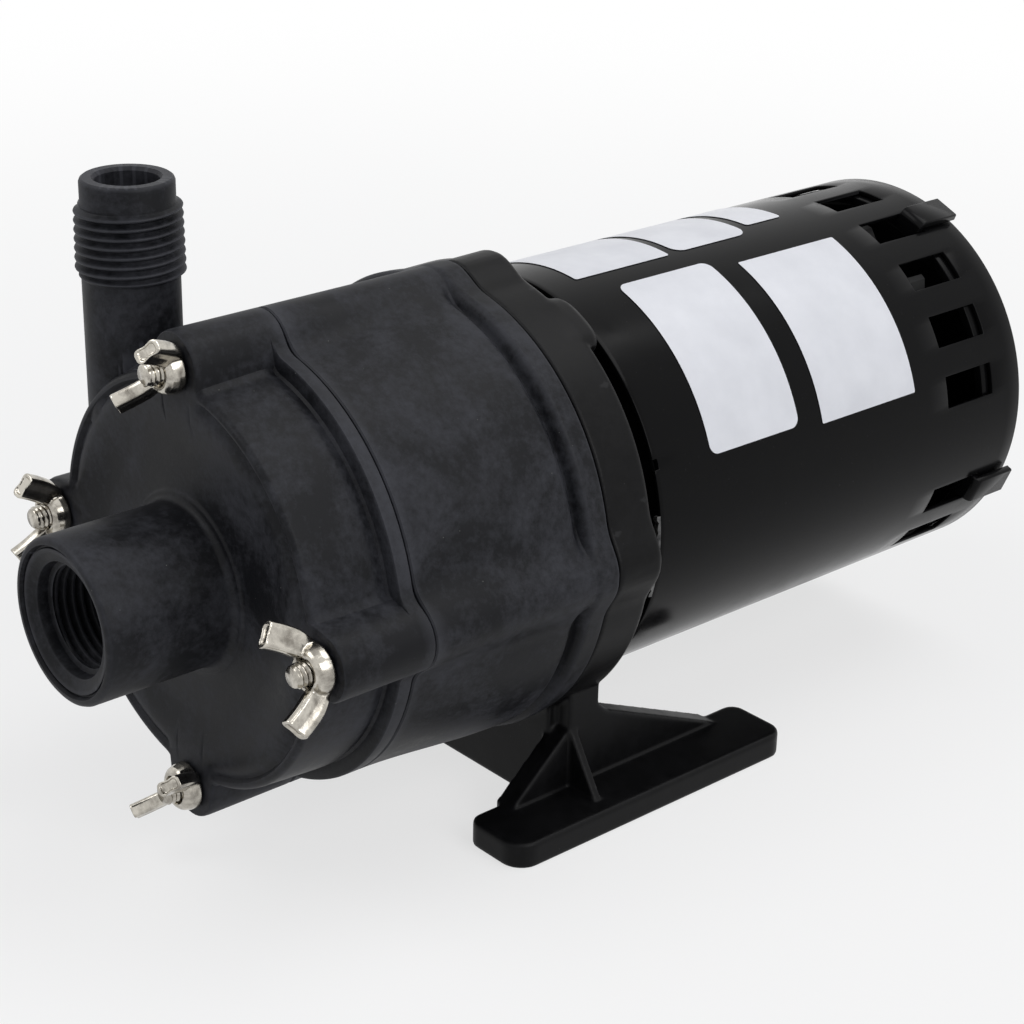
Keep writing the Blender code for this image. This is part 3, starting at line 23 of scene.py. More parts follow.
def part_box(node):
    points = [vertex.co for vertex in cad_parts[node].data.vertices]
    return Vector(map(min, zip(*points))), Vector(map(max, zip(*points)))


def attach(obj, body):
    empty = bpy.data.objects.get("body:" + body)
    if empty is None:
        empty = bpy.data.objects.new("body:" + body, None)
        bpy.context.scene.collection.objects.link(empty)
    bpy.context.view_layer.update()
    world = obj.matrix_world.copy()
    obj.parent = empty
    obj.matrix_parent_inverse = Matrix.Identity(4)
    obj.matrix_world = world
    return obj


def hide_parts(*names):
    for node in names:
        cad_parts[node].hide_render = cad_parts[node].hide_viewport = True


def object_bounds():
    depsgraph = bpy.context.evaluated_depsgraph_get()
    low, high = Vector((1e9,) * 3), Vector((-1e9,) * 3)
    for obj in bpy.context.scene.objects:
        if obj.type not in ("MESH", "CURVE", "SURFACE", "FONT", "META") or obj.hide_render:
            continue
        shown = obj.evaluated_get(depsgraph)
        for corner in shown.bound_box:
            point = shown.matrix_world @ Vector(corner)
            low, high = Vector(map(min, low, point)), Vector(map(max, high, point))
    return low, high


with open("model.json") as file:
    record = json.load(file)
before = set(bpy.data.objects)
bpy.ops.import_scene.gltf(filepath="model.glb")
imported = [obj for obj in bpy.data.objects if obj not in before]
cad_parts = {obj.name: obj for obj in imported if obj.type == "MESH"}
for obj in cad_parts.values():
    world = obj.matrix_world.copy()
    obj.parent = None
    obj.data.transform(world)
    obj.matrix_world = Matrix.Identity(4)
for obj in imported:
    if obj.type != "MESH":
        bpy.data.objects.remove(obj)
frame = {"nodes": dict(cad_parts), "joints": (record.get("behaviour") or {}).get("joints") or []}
CAD_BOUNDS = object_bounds()
LOG = logging.getLogger("pump")

SHAFT_LINE = Vector(next(j["pos_m"] for j in frame["joints"] if j["name"] == "motor_spin"))
BOLT_ANGLES = {"top": 90.0, "right": 0.0, "bottom": -90.0, "left": 180.0}
BOLT_CIRCLE_R = 0.0437
LOBE_R = 0.0070
LOBE_REACH = CAD_BOUNDS[1][0]
BOLT_HOLE_R = 0.0027
MERGE = 1e-6

Profile = tuple[tuple[float, float], ...]


class Body(Enum):
    """Bodies of the frame that the pieces ride on."""

    PUMP = "pump_frame"
    MOTOR_ROTOR = "motor_rotor"
    NUT_TOP = "nut_top"
    NUT_RIGHT = "nut_right"
    NUT_BOTTOM = "nut_bottom"
    NUT_LEFT = "nut_left"


class Slot(Enum):
    """Material slots of the record that the pieces are listed under; their materials come from
    their finishes.
    """

    CASING = "charcoal_plastic"
    BASE = "black_plastic"
    STEEL = "bright_steel"
    NICKEL = "nickel_plate"
    PAINT = "gloss_black_paint"


# Node graphs and finishes


class Graph:
    """Node tree of one material, with the few nodes that the finishes are made of."""

    def __init__(self, name: str) -> None:
        """Start a material that holds a Principled shader and object coordinates.

        Args:
            name: Name of the material.
        """
        self.material = bpy.data.materials.new(name)
        self.material.use_nodes = True
        self.nodes = self.material.node_tree.nodes
        self.links = self.material.node_tree.links
        self.shader = self.nodes["Principled BSDF"]
        self.place = self.nodes.new("ShaderNodeTexCoord").outputs["Object"]

    def set(self, **values: object) -> None:
        """Set constants on the shader's own sockets, with underscores for their spaces."""
        for name, value in values.items():
            self.shader.inputs[name.replace("_", " ")].default_value = value

    def feed(self, socket: str, source: bpy.types.NodeSocket) -> None:
        """Link a node's output to one of the shader's sockets."""
        self.links.new(source, self.shader.inputs[socket])

    def stretched(self, stretch: Sequence[float]) -> bpy.types.NodeSocket:
        """Scale the coordinates by axis, for grain that runs one way.

        Args:
            stretch: Factors along X, Y and Z.

        Returns:
            The scaled coordinates.
        """
        mapping = self.nodes.new("ShaderNodeMapping")
        mapping.inputs["Scale"].default_value = stretch
        self.links.new(self.place, mapping.inputs["Vector"])
        return mapping.outputs["Vector"]

    def noise(self, size: float, detail: float = 4.0, rough: float = 0.5, bend: float = 0.0,
              stretch: Sequence[float] = (1.0, 1.0, 1.0)) -> bpy.types.NodeSocket:
        """Add noise with features of a real size.

        Args:
            size: Size of the largest features in metres.
            detail: Number of finer octaves.
            rough: Strength of the finer octaves.
            bend: Distortion of the pattern.
            stretch: Factors on the coordinates along X, Y and Z.

        Returns:
            The noise between 0 and 1.
        """
        node = self.nodes.new("ShaderNodeTexNoise")
        node.inputs["Scale"].default_value = 1.0 / size
        node.inputs["Detail"].default_value = detail
        node.inputs["Roughness"].default_value = rough
        node.inputs["Distortion"].default_value = bend
        self.links.new(self.stretched(stretch), node.inputs["Vector"])
        return node.outputs["Fac"]

    def cells(self, size: float) -> bpy.types.NodeSocket:
        """Add the distance to scattered points, for specks.

        Args:
            size: Mean distance between the points in metres.

        Returns:
            The distance as a share of the cell.
        """
        node = self.nodes.new("ShaderNodeTexVoronoi")
        node.inputs["Scale"].default_value = 1.0 / size
        self.links.new(self.place, node.inputs["Vector"])
        return node.outputs["Distance"]

    def edges(self, low: float, high: float) -> bpy.types.NodeSocket:
        """Find where the surface is sharply convex, as on rubbed edges."""
        node = self.nodes.new("ShaderNodeNewGeometry")
        return self.remap(node.outputs["Pointiness"], low, high, 0.0, 1.0)

    def remap(self, source: bpy.types.NodeSocket, low: float, high: float, start: float,
              end: float) -> bpy.types.NodeSocket:
        """Map one range of values onto another, clamped.

        Args:
            source: Value to map.
            low: Lowest value read.
            high: Highest value read.
            start: Result at the lowest value.
            end: Result at the highest value.

        Returns:
            The mapped value.
        """
        node = self.nodes.new("ShaderNodeMapRange")
        for name, value in zip(("From Min", "From Max", "To Min", "To Max"),
                               (low, high, start, end)):
            node.inputs[name].default_value = value
        self.links.new(source, node.inputs["Value"])
        return node.outputs["Result"]

    def blend(self, factor: bpy.types.NodeSocket, first: object,
              second: object) -> bpy.types.NodeSocket:
        """Blend two colours by a factor.

        Args:
            factor: Share of the second colour.
            first: Colour, or the output that gives it.
            second: Colour, or the output that gives it.

        Returns:
            The blended colour.
        """
        node = self.nodes.new("ShaderNodeMix")
        node.data_type = "RGBA"
        self.links.new(factor, node.inputs["Factor"])
        for name, value in (("A", first), ("B", second)):
            socket = next(item for item in node.inputs
                          if item.name == name and item.type == "RGBA")
            if isinstance(value, bpy.types.NodeSocket):
                self.links.new(value, socket)
            else:
                socket.default_value = (*value, 1.0)
        return next(item for item in node.outputs if item.type == "RGBA")

    def maths(self, operation: str, first: bpy.types.NodeSocket,
              second: object) -> bpy.types.NodeSocket:
        """Combine two values.

        Args:
            operation: Name of the operation.
            first: First value.
            second: Second value, as a number or an output.

        Returns:
            The result.
        """
        node = self.nodes.new("ShaderNodeMath")
        node.operation = operation
        self.links.new(first, node.inputs[0])
        if isinstance(second, bpy.types.NodeSocket):
            self.links.new(second, node.inputs[1])
        else:
            node.inputs[1].default_value = second
        return node.outputs["Value"]

    def scaled_sum(self, first: bpy.types.NodeSocket, factor: float,
                   second: bpy.types.NodeSocket) -> bpy.types.NodeSocket:
        """Scale one value and add another.

        Args:
            first: Value to scale.
            factor: Its factor.
            second: Value to add.

        Returns:
            The sum.
        """
        total = self.maths("MULTIPLY_ADD", first, factor)
        self.links.new(second, total.node.inputs[2])
        return total

    def bump(self, height: bpy.types.NodeSocket, strength: float, depth: float,
             under: bpy.types.NodeSocket | None = None) -> bpy.types.NodeSocket:
        """Add relief to the shading.

        Args:
            height: Height between 0 and 1.
            strength: Strength of the effect.
            depth: Real depth in metres.
            under: Normal that this relief lies on.

        Returns:
            The bumped normal.
        """
        node = self.nodes.new("ShaderNodeBump")
        node.inputs["Strength"].default_value = strength
        node.inputs["Distance"].default_value = depth
        self.links.new(height, node.inputs["Height"])
        if under is not None:
            self.links.new(under, node.inputs["Normal"])
        return node.outputs["Normal"]


class Finish:
    """Surface finish that makes its material once."""

    name: str

    def dress(self, graph: Graph) -> None:
        """Fill the material's nodes."""
        raise NotImplementedError

    def material(self) -> bpy.types.Material:
        """Give the finish's material, made at the first call.

        Returns:
            The material.
        """
        made = bpy.data.materials.get(self.name)
        if made is None:
            graph = Graph(self.name)
            self.dress(graph)
            made = graph.material
        return made


@dataclass(frozen=True)
class MouldedPlastic(Finish):
    """Dark moulded plastic, clouded where the melt has flowed, with a fine grain and specks."""

    name: str
    dark: tuple[float, float, float]
    cloud: tuple[float, float, float]
    cloud_size: float = 0.018
    cloud_share: float = 0.95
    mottle: float = 0.65
    mottle_size: float = 0.0016
    rubbing: float = 0.55
    rough_low: float = 0.42
    rough_high: float = 0.60
    grain: float = 0.35
    grain_size: float = 0.00045
    specks: float = 0.75
    speck_spacing: float = 0.0028
    speck_colour: tuple[float, float, float] = (0.22, 0.22, 0.21)
    gloss: float = 0.13

    def dress(self, graph: Graph) -> None:
        """Fill the nodes: clouds, rubbed edges, specks and grain.

        Args:
            graph: Node tree to fill.
        """
        clouds = graph.noise(self.cloud_size, 5.0, 0.62, 0.6)
        mixed = graph.scaled_sum(graph.noise(self.mottle_size, 5.0, 0.72), self.mottle, clouds)
        middle = 0.5 + 0.5 * self.mottle
        share = graph.remap(mixed, middle - 0.09, middle + 0.20, 0.0, self.cloud_share)
        colour = graph.blend(share, self.dark, self.cloud)
        rubbed = graph.maths("MULTIPLY", graph.edges(0.52, 0.58), self.rubbing)
        bright = tuple(min(1.0, 1.9 * value + 0.01) for value in self.cloud)
        colour = graph.blend(rubbed, colour, bright)
        speck = graph.remap(graph.cells(self.speck_spacing), 0.045, 0.020, 0.0, self.specks)
        chosen = graph.remap(graph.noise(0.006, 2.0), 0.52, 0.60, 0.0, 1.0)
        colour = graph.blend(graph.maths("MULTIPLY", speck, chosen), colour,
                             self.speck_colour)
        graph.feed("Base Color", colour)
        graph.feed("Roughness", graph.remap(mixed, middle - 0.2, middle + 0.2, self.rough_low,
                                            self.rough_high))
        graph.set(Specular_IOR_Level=self.gloss)
        flow = graph.bump(graph.noise(0.009, 3.0, 0.5, 0.4), 0.18, 0.0004)
        fine = graph.bump(graph.noise(self.grain_size, 3.0, 0.6), self.grain, 0.00006, flow)
        graph.feed("Normal", fine)


@dataclass(frozen=True)
class GlossPaint(Finish):
    """Gloss black enamel on rolled sheet steel, faintly wavy and dusty."""

    name: str
    colour: tuple[float, float, float] = (0.0030, 0.0030, 0.0033)
    dust: tuple[float, float, float] = (0.05, 0.05, 0.052)
    rough_low: float = 0.14
    rough_high: float = 0.26
    gloss: float = 0.07

    def dress(self, graph: Graph) -> None:
        """Fill the nodes: orange peel, waves along the roll and smudges.

        Args:
            graph: Node tree to fill.
        """
        smudge = graph.noise(0.020, 6.0, 0.65, 0.8)
        graph.feed("Roughness", graph.remap(smudge, 0.38, 0.70, self.rough_low,
                                            self.rough_high))
        dust = graph.remap(graph.noise(0.0007, 2.0, 0.7), 0.70, 0.78, 0.0, 0.35)
        worn = graph.maths("MAXIMUM", graph.maths("MULTIPLY", graph.edges(0.56, 0.66), 0.5),
                           dust)
        graph.feed("Base Color", graph.blend(worn, self.colour, self.dust))
        graph.set(Specular_IOR_Level=self.gloss)
        wave = graph.bump(graph.noise(0.014, 2.0, 0.4, 0.0, (1.0, 0.22, 1.0)), 0.10, 0.0006)
        peel = graph.bump(graph.noise(0.0011, 2.0, 0.5), 0.06, 0.00005, wave)
        graph.feed("Normal", peel)


@dataclass(frozen=True)
class Metal(Finish):
    """Bare or plated metal, with grain along one direction."""

    name: str
    colour: tuple[float, float, float]
    stain: tuple[float, float, float]
    rough_low: float
    rough_high: float
    grain_size: float = 0.0006
    grain: float = 0.12
    stretch: tuple[float, float, float] = (1.0, 1.0, 1.0)

    def dress(self, graph: Graph) -> None:
        """Fill the nodes: stains, uneven polish and grain.

        Args:
            graph: Node tree to fill.
        """
        stains = graph.noise(0.0030, 5.0, 0.6, 0.3)
        share = graph.remap(stains, 0.40, 0.72, 0.0, 1.0)
        graph.feed("Base Color", graph.blend(share, self.colour, self.stain))
        grain = graph.noise(self.grain_size, 3.0, 0.6, 0.0, self.stretch)
        mixed = graph.scaled_sum(grain, 0.5, stains)
        graph.feed("Roughness", graph.remap(mixed, 0.55, 1.0, self.rough_low,
                                            self.rough_high))
        graph.set(Metallic=1.0)
        graph.feed("Normal", graph.bump(grain, self.grain, 0.00008))


@dataclass(frozen=True)
class Windings(Finish):
    """Varnished copper wire wound round the shaft line in bundles."""

    name: str

    def dress(self, graph: Graph) -> None:
        """Fill the nodes: strands, varnish and painted shade in the hollows between them.

        Args:
            graph: Node tree to fill.
        """
        strand = graph.noise(0.0012, 3.0, 0.6, 2.5, (1.0, 2.6, 1.0))
        share = graph.remap(strand, 0.40, 0.62, 0.0, 1.0)
        # Dark brown where the strand noise, and so the bump, is low: painted shade in the hollows
        # between strands.
        graph.feed("Base Color", graph.blend(share, (0.10, 0.025, 0.008), (0.55, 0.19, 0.06)))
        graph.feed("Roughness", graph.remap(strand, 0.3, 0.7, 0.45, 0.25))
        graph.set(Metallic=0.7)
        graph.feed("Normal", graph.bump(strand, 0.6, 0.0003))


@dataclass(frozen=True)
class Ceramic(Finish):
    """Ground ceramic, faintly mottled."""

    name: str
    colour: tuple[float, float, float]
    shade: tuple[float, float, float]
    rough_low: float = 0.16
    rough_high: float = 0.34

    def dress(self, graph: Graph) -> None:
        """Fill the nodes: mottling, polish and grinding marks.

        Args:
            graph: Node tree to fill.
        """
        mottle = graph.noise(0.0020, 5.0, 0.6)
        share = graph.remap(mottle, 0.35, 0.75, 0.0, 1.0)
        graph.feed("Base Color", graph.blend(share, self.colour, self.shade))
        graph.feed("Roughness", graph.remap(mottle, 0.3, 0.7, self.rough_low, self.rough_high))
        graph.feed("Normal", graph.bump(graph.noise(0.0003, 2.0), 0.08, 0.00003))


@dataclass(frozen=True)
class LabelStock(Finish):
    """Coated label paper, smooth and slightly uneven in tone."""

    name: str
    colour: tuple[float, float, float]
    tone: tuple[float, float, float]

    def dress(self, graph: Graph) -> None:
        """Fill the nodes: tone, sheen and the film's ripple.

        Args:
            graph: Node tree to fill.
        """
        tone = graph.noise(0.012, 4.0, 0.55)
        graph.feed("Base Color", graph.blend(graph.remap(tone, 0.35, 0.70, 0.0, 1.0),
                                             self.colour, self.tone))
        graph.feed("Roughness", graph.remap(tone, 0.3, 0.7, 0.30, 0.42))
        graph.feed("Normal", graph.bump(graph.noise(0.004, 3.0), 0.05, 0.0002))


CASING_PLASTIC = MouldedPlastic("casing_plastic", (0.0060, 0.0063, 0.0078),
                                (0.032, 0.033, 0.039))
BASE_PLASTIC = MouldedPlastic("base_plastic", (0.0026, 0.0026, 0.0029), (0.0080, 0.0080, 0.0088),
                              cloud_share=0.5, rough_low=0.34, rough_high=0.46, grain=0.15,
                              specks=0.25, gloss=0.11)
WET_PLASTIC = MouldedPlastic("wet_plastic", (0.020, 0.021, 0.023), (0.040, 0.041, 0.044),
                             cloud_size=0.008, specks=0.2)
SEAL_RUBBER = MouldedPlastic("seal_rubber", (0.010, 0.010, 0.010), (0.020, 0.020, 0.020),
                             rough_low=0.62, rough_high=0.78, specks=0.0)
FAN_PLASTIC = MouldedPlastic("fan_plastic", (0.012, 0.012, 0.012), (0.024, 0.024, 0.024),
                             specks=0.2)
BLACK_ENAMEL = GlossPaint("black_enamel")
NICKEL = Metal("nickel", (0.56, 0.53, 0.47), (0.16, 0.145, 0.125), 0.10, 0.28)
STEEL = Metal("steel", (0.52, 0.52, 0.53), (0.34, 0.34, 0.35), 0.20, 0.38,
              stretch=(1.0, 8.0, 1.0))
WORN_STEEL = Metal("worn_steel", (0.17, 0.17, 0.17), (0.035, 0.035, 0.037), 0.35, 0.65,
                   grain=0.5)
LAMINATED = Metal("laminated", (0.20, 0.21, 0.23), (0.11, 0.11, 0.12), 0.35, 0.55,
                  grain_size=0.0009, grain=0.8, stretch=(0.02, 1.0, 0.02))
FERRITE = Ceramic("ferrite_grey", (0.050, 0.048, 0.047), (0.028, 0.027, 0.027), 0.45, 0.62)
ALUMINA = Ceramic("alumina_white", (0.78, 0.76, 0.70), (0.66, 0.63, 0.56))
COPPER = Windings("copper_wire")
WHITE_LABEL = LabelStock("white_label", (0.74, 0.75, 0.79), (0.66, 0.67, 0.71))


# Solids


def polar(radius: float, angle: float, y: float = 0.0) -> Vector:
    """Give the point at a radius and an angle round the Y axis."""
    turn = math.radians(angle)
    return Vector((radius * math.cos(turn), y, radius * math.sin(turn)))


def about_shaft(angle: float) -> Matrix:
    """Give the rotation that carries +X round the Y axis towards +Z."""
    return Matrix.Rotation(math.radians(-angle), 4, "Y")


def upright() -> Matrix:
    """Give the rotation that stands a piece turned along Y up along +Z."""
    return Matrix.Rotation(math.radians(90.0), 4, "X")


def smoothstep(value: float) -> float:
    """Ease a share between 0 and 1."""
    share = min(1.0, max(0.0, value))
    return share * share * (3.0 - 2.0 * share)


class Solid:
    """A mesh under construction, with the operations that shape it."""

    def __init__(self, mesh: bpy.types.Mesh) -> None:
        """Hold a mesh."""
        self.mesh = mesh

    @classmethod
    def from_bmesh(cls, bm: bmesh.types.BMesh) -> "Solid":
        """Merge touching points, turn the faces outwards and keep the mesh.

        Args:
            bm: Mesh data, which is freed.

        Returns:
            The solid.
        """
        bmesh.ops.remove_doubles(bm, verts=bm.verts, dist=MERGE)
        bmesh.ops.dissolve_degenerate(bm, edges=bm.edges, dist=MERGE)
        bmesh.ops.recalc_face_normals(bm, faces=bm.faces)
        mesh = bpy.data.meshes.new("solid")
        bm.to_mesh(mesh)
        bm.free()
        return cls(mesh)

    @classmethod
    def loft(cls, rings: Sequence[Sequence[Vector]]) -> "Solid":
        """Bridge rings of points that hold as many points each, and cap both ends.

        Args:
            rings: Rings in order.

        Returns:
            The solid.
        """
        bm = bmesh.new()
        rows = [[bm.verts.new(point) for point in ring] for ring in rings]
        for row, after in zip(rows, rows[1:]):
            for index in range(len(row)):
                step = (index + 1) % len(row)
                bm.faces.new((row[index], row[step], after[step], after[index]))
        bm.faces.new(rows[0])
        bm.faces.new(rows[-1])
        return cls.from_bmesh(bm)

    @classmethod
    def prism(cls, outline: Sequence[tuple[float, float]], axis: str, start: float,
              end: float) -> "Solid":
        """Extrude a flat outline along an axis.

        Args:
            outline: Points in the plane across the axis, in X, Y, Z order.
            axis: X, Y or Z.
            start: Where the solid starts.
            end: Where it ends.

        Returns:
            The solid.
        """
        at = "XYZ".index(axis)
        rings = []
        for level in (start, end):
            ring = []
            for pair in outline:
                point = list(pair)
                point.insert(at, level)
                ring.append(Vector(point))
            rings.append(ring)
        return cls.loft(rings)

    def moved(self, matrix: Matrix) -> "Solid":
        """Transform the solid."""
        self.mesh.transform(matrix)
        return self

    def combined(self, operation: str, tools: Iterable["Solid"]) -> "Solid":
        """Join or cut the solid with others.

        Args:
            operation: UNION or DIFFERENCE.
            tools: Other solids.

        Returns:
            The new solid.
        """
        body = link("boolean_body", self.mesh)
        helpers = []
        for tool in tools:
            helper = link("boolean_tool", tool.mesh)
            modifier = body.modifiers.new(operation, "BOOLEAN")
            modifier.operation = operation
            modifier.solver = "MANIFOLD"
            modifier.object = helper
            helpers.append(helper)
        return self.baked(body, helpers)

    def union(self, *tools: "Solid") -> "Solid":
        """Join the solid with others."""
        return self.combined("UNION", tools)

    def minus(self, *tools: "Solid") -> "Solid":
        """Cut others out of the solid."""
        return self.combined("DIFFERENCE", tools)

    def moulded(self, voxel: float, passes: int, keep: float) -> "Solid":
        """Melt the solid into one skin with small fillets, as a moulding has.

        Args:
            voxel: Size of the skin's cells.
            passes: Smoothing passes.
            keep: Share of the faces to keep.

        Returns:
            The new solid.
        """
        body = link("moulding", self.mesh)
        remesh = body.modifiers.new("Remesh", "REMESH")
        remesh.mode = "VOXEL"
        remesh.voxel_size = voxel
        relax = body.modifiers.new("Smooth", "SMOOTH")
        relax.factor = 0.5
        relax.iterations = passes
        fewer = body.modifiers.new("Decimate", "DECIMATE")
        fewer.ratio = keep
        return self.baked(body)

    def bevelled(self, width: float, limit: float) -> "Solid":
        """Round the solid's sharp edges.

        Args:
            width: Width of the rounding.
            limit: Least angle in degrees that counts as sharp.

        Returns:
            The new solid.
        """
        body = link("bevelling", self.mesh)
        bevel = body.modifiers.new("Bevel", "BEVEL")
        bevel.width = width
        bevel.segments = 2
        bevel.limit_method = "ANGLE"
        bevel.angle_limit = math.radians(limit)
        return self.baked(body)

    @staticmethod
    def baked(body: bpy.types.Object,
              helpers: Sequence[bpy.types.Object] = ()) -> "Solid":
        """Keep an object's evaluated mesh and remove the object.

        Args:
            body: Object with modifiers.
            helpers: Objects that the modifiers used.

        Returns:
            The evaluated mesh as a solid.
        """
        depsgraph = bpy.context.evaluated_depsgraph_get()
        mesh = bpy.data.meshes.new_from_object(body.evaluated_get(depsgraph))
        for item in [body, *helpers]:
            bpy.data.objects.remove(item, do_unlink=True)
        return Solid(mesh)


def thickened(solid: Solid, thickness: float, side: float) -> Solid:
    """Give a sheet its thickness.

    Args:
        solid: Sheet without thickness.
        thickness: Thickness of the sheet.
        side: 1 to grow along the faces' normals, -1 to grow against them.

    Returns:
        The sheet as a solid.
    """
    sheet = link("sheet", solid.mesh)
    thick = sheet.modifiers.new("Solidify", "SOLIDIFY")
    thick.thickness = thickness
    thick.offset = side
    thick.use_even_offset = side < 0.0
    return Solid.baked(sheet)


def link(name: str, mesh: bpy.types.Mesh) -> bpy.types.Object:
    """Put a mesh into the scene.

    Args:
        name: Name of the object.
        mesh: Its mesh.

    Returns:
        The object.
    """
    item = bpy.data.objects.new(name, mesh)
    bpy.context.scene.collection.objects.link(item)
    return item


@dataclass(frozen=True)
class Thread:
    """Form of a screw thread."""

    pitch: float
    depth: float
    run_in: float = 0.0008
    run_out: float = 0.0016
    crest: tuple[float, ...] = (0.0, 0.12, 0.50, 0.92, 1.0, 0.92, 0.50, 0.12)

    def height(self, travel: float, length: float, step: int) -> float:
        """Give the thread's height at one point."""
        fade = smoothstep(travel / self.run_in) * smoothstep((length - travel) / self.run_out)
        return self.depth * fade * self.crest[step % len(self.crest)]


class Lathe:
    """Turns a profile round the Y axis, with thread turns where they are asked for."""

    def __init__(self, columns: int = 96) -> None:
        """Start an empty turning.

        Args:
            columns: Points round the axis.
        """
        self.columns = columns
        self.bm = bmesh.new()
        self.first: list[bmesh.types.BMVert] = []
        self.last: list[bmesh.types.BMVert] = []
        self.radius = 0.0
        self.y = 0.0

    def ring(self, radius: float, y: float) -> list[bmesh.types.BMVert]:
        """Add one ring of points, or one point on the axis.

        Args:
            radius: Radius of the ring.
            y: Its place along the axis.

        Returns:
            The ring's points.
        """
        count = self.columns if radius > 0.0 else 1
        step = 360.0 / self.columns
        return [self.bm.verts.new(polar(radius, step * index, y)) for index in range(count)]

    def bridge(self, start: list[bmesh.types.BMVert], end: list[bmesh.types.BMVert]) -> None:
        """Join two rings with faces.

        Args:
            start: First ring.
            end: Second ring.
        """
        for index in range(self.columns):
            after = (index + 1) % self.columns
            corners = []
            for ring, order in ((start, (index, after)), (end, (after, index))):
                corners += [ring[place % len(ring)] for place in order]
            unique = list(dict.fromkeys(corners))
            if len(unique) > 2:
                self.bm.faces.new(unique)

    def to(self, *points: tuple[float, float]) -> "Lathe":
        """Carry the profile on through points.

        Args:
            points: Radius and place along the axis of each.

        Returns:
            The lathe itself.
        """
        for radius, y in points:
            made = self.ring(radius, y)
            if self.last:
                self.bridge(self.last, made)
            else:
                self.first = made
            self.last, self.radius, self.y = made, radius, y
        return self

    def arc(self, centre: tuple[float, float], radius: float, start: float, end: float,
            steps: int = 6) -> "Lathe":
        """Carry the profile on along an arc.

        Args:
            centre: Radius and place along the axis of the arc's centre.
            radius: Radius of the arc.
            start: First angle in degrees, from outwards towards +Y.
            end: Last angle.
            steps: Number of steps.

        Returns:
            The lathe itself.
        """
        for step in range(steps + 1):
            turn = math.radians(start + (end - start) * step / steps)
            self.to((centre[0] + radius * math.cos(turn), centre[1] + radius * math.sin(turn)))
        return self

    def thread(self, form: Thread, radius: float, y: float) -> "Lathe":
        """Carry the profile on along a thread to a root radius and place.

        Args:
            form: Form of the thread.
            radius: Root radius at its end.
            y: Place of its end.

        Returns:
            The lathe itself.
        """
        steps = len(form.crest)
        length = abs(y - self.y)
        sense = math.copysign(1.0, y - self.y)
        rows = range(-steps, math.ceil(length / form.pitch * steps) + 1)
        grid = {}
        for row in rows:
            for column in range(self.columns):
                travel = form.pitch * (row / steps + column / self.columns)
                travel = min(length, max(0.0, travel))
                share = travel / length
                root = self.radius + (radius - self.radius) * share
                reach = root + form.height(travel, length, row)
                angle = sense * -360.0 * column / self.columns
                grid[row, column] = self.bm.verts.new(polar(reach, angle, self.y + sense * travel))
        for row in rows[:-1]:
            for column in range(self.columns):
                wraps = column + 1 == self.columns
                after = (row + steps * wraps, 0 if wraps else column + 1)
                over = (after[0] + 1, after[1])
                if over in grid:
                    self.bm.faces.new((grid[row, column], grid[after], grid[over],
                                       grid[row + 1, column]))
        self.last, self.radius, self.y = self.ring(radius, y), radius, y
        return self

    def solid(self, closed: bool = False) -> Solid:
        """Finish the turning.

        Args:
            closed: Join the last ring to the first, as on a ring.

        Returns:
            The solid.
        """
        if closed:
            self.bridge(self.last, self.first)
        return Solid.from_bmesh(self.bm)


def plug(radius: float, start: float, end: float, columns: int = 32) -> Solid:
    """Turn a plain cylinder on the Y axis."""
    return Lathe(columns).to((0.0, start), (radius, start), (radius, end), (0.0, end)).solid()


def bolt_holes(start: float, end: float, columns: int) -> list[Solid]:
    """Make the cutters of the four bolt holes."""
    return [plug(BOLT_HOLE_R, start, end, columns).moved(at_bolt(angle))
            for angle in BOLT_ANGLES.values()]


def at_bolt(angle: float, y: float = 0.0) -> Matrix:
    """Give the place of a bolt's axis."""
    return Matrix.Translation(polar(BOLT_CIRCLE_R, angle, y))


@dataclass(frozen=True)
class Outline:
    """Round body that blends into four bolt lobes."""

    columns: int = 288
    blend: float = 0.0038
    dip_start: float = 9.5
    dip_width: float = 4.0

    def angles(self) -> np.ndarray:
        """Give the angles of the outline's points."""
        return np.arange(self.columns) * 360.0 / self.columns

    def radii(self, body_r: float, lobe_r: float) -> np.ndarray:
        """Measure from the shaft line to the outline at each angle.

        Args:
            body_r: Radius of the round body.
            lobe_r: Radius of the lobes.

        Returns:
            Radii at all angles.
        """
        offset = np.radians((self.angles() + 45.0) % 90.0 - 45.0)
        reach = np.full_like(offset, max(body_r, BOLT_CIRCLE_R + lobe_r) + self.blend)
        for _ in range(90):
            to_body = reach - body_r
            to_lobe = np.hypot(reach * np.cos(offset) - BOLT_CIRCLE_R,
                               reach * np.sin(offset)) - lobe_r
            overlap = np.maximum(self.blend - np.abs(to_body - to_lobe), 0.0) / self.blend
            reach -= np.minimum(to_body, to_lobe) - 0.25 * self.blend * overlap ** 2
        return reach

    def ring(self, y: float, body_r: float, lobe_r: float, dip: float = 0.0) -> list[Vector]:
        """Give one cross section with lobes.

        Args:
            y: Place along the shaft line.
            body_r: Radius of the round body.
            lobe_r: Radius of the lobes.
            dip: How far the section sinks towards the rear between the lobes.

        Returns:
            The section's points.
        """
        points = []
        for radius, angle in zip(self.radii(body_r, lobe_r), self.angles()):
            from_lobe = abs((angle + 45.0) % 90.0 - 45.0)
            fade = smoothstep((from_lobe - self.dip_start) / self.dip_width)
            points.append(polar(min(radius, LOBE_REACH), angle, y + dip * fade))
        return points

    def circle(self, y: float, radius: float) -> list[Vector]:
        """Give one round cross section."""
        return [polar(radius, angle, y) for angle in self.angles()]


# Pieces


@dataclass(frozen=True)
class Place:
    """What a piece is called, rides on, which slot of the record it is listed under, and what it
    stands for.
    """

    name: str
    body: Body
    slot: Slot | None
    replaces: tuple[str, ...] = ()


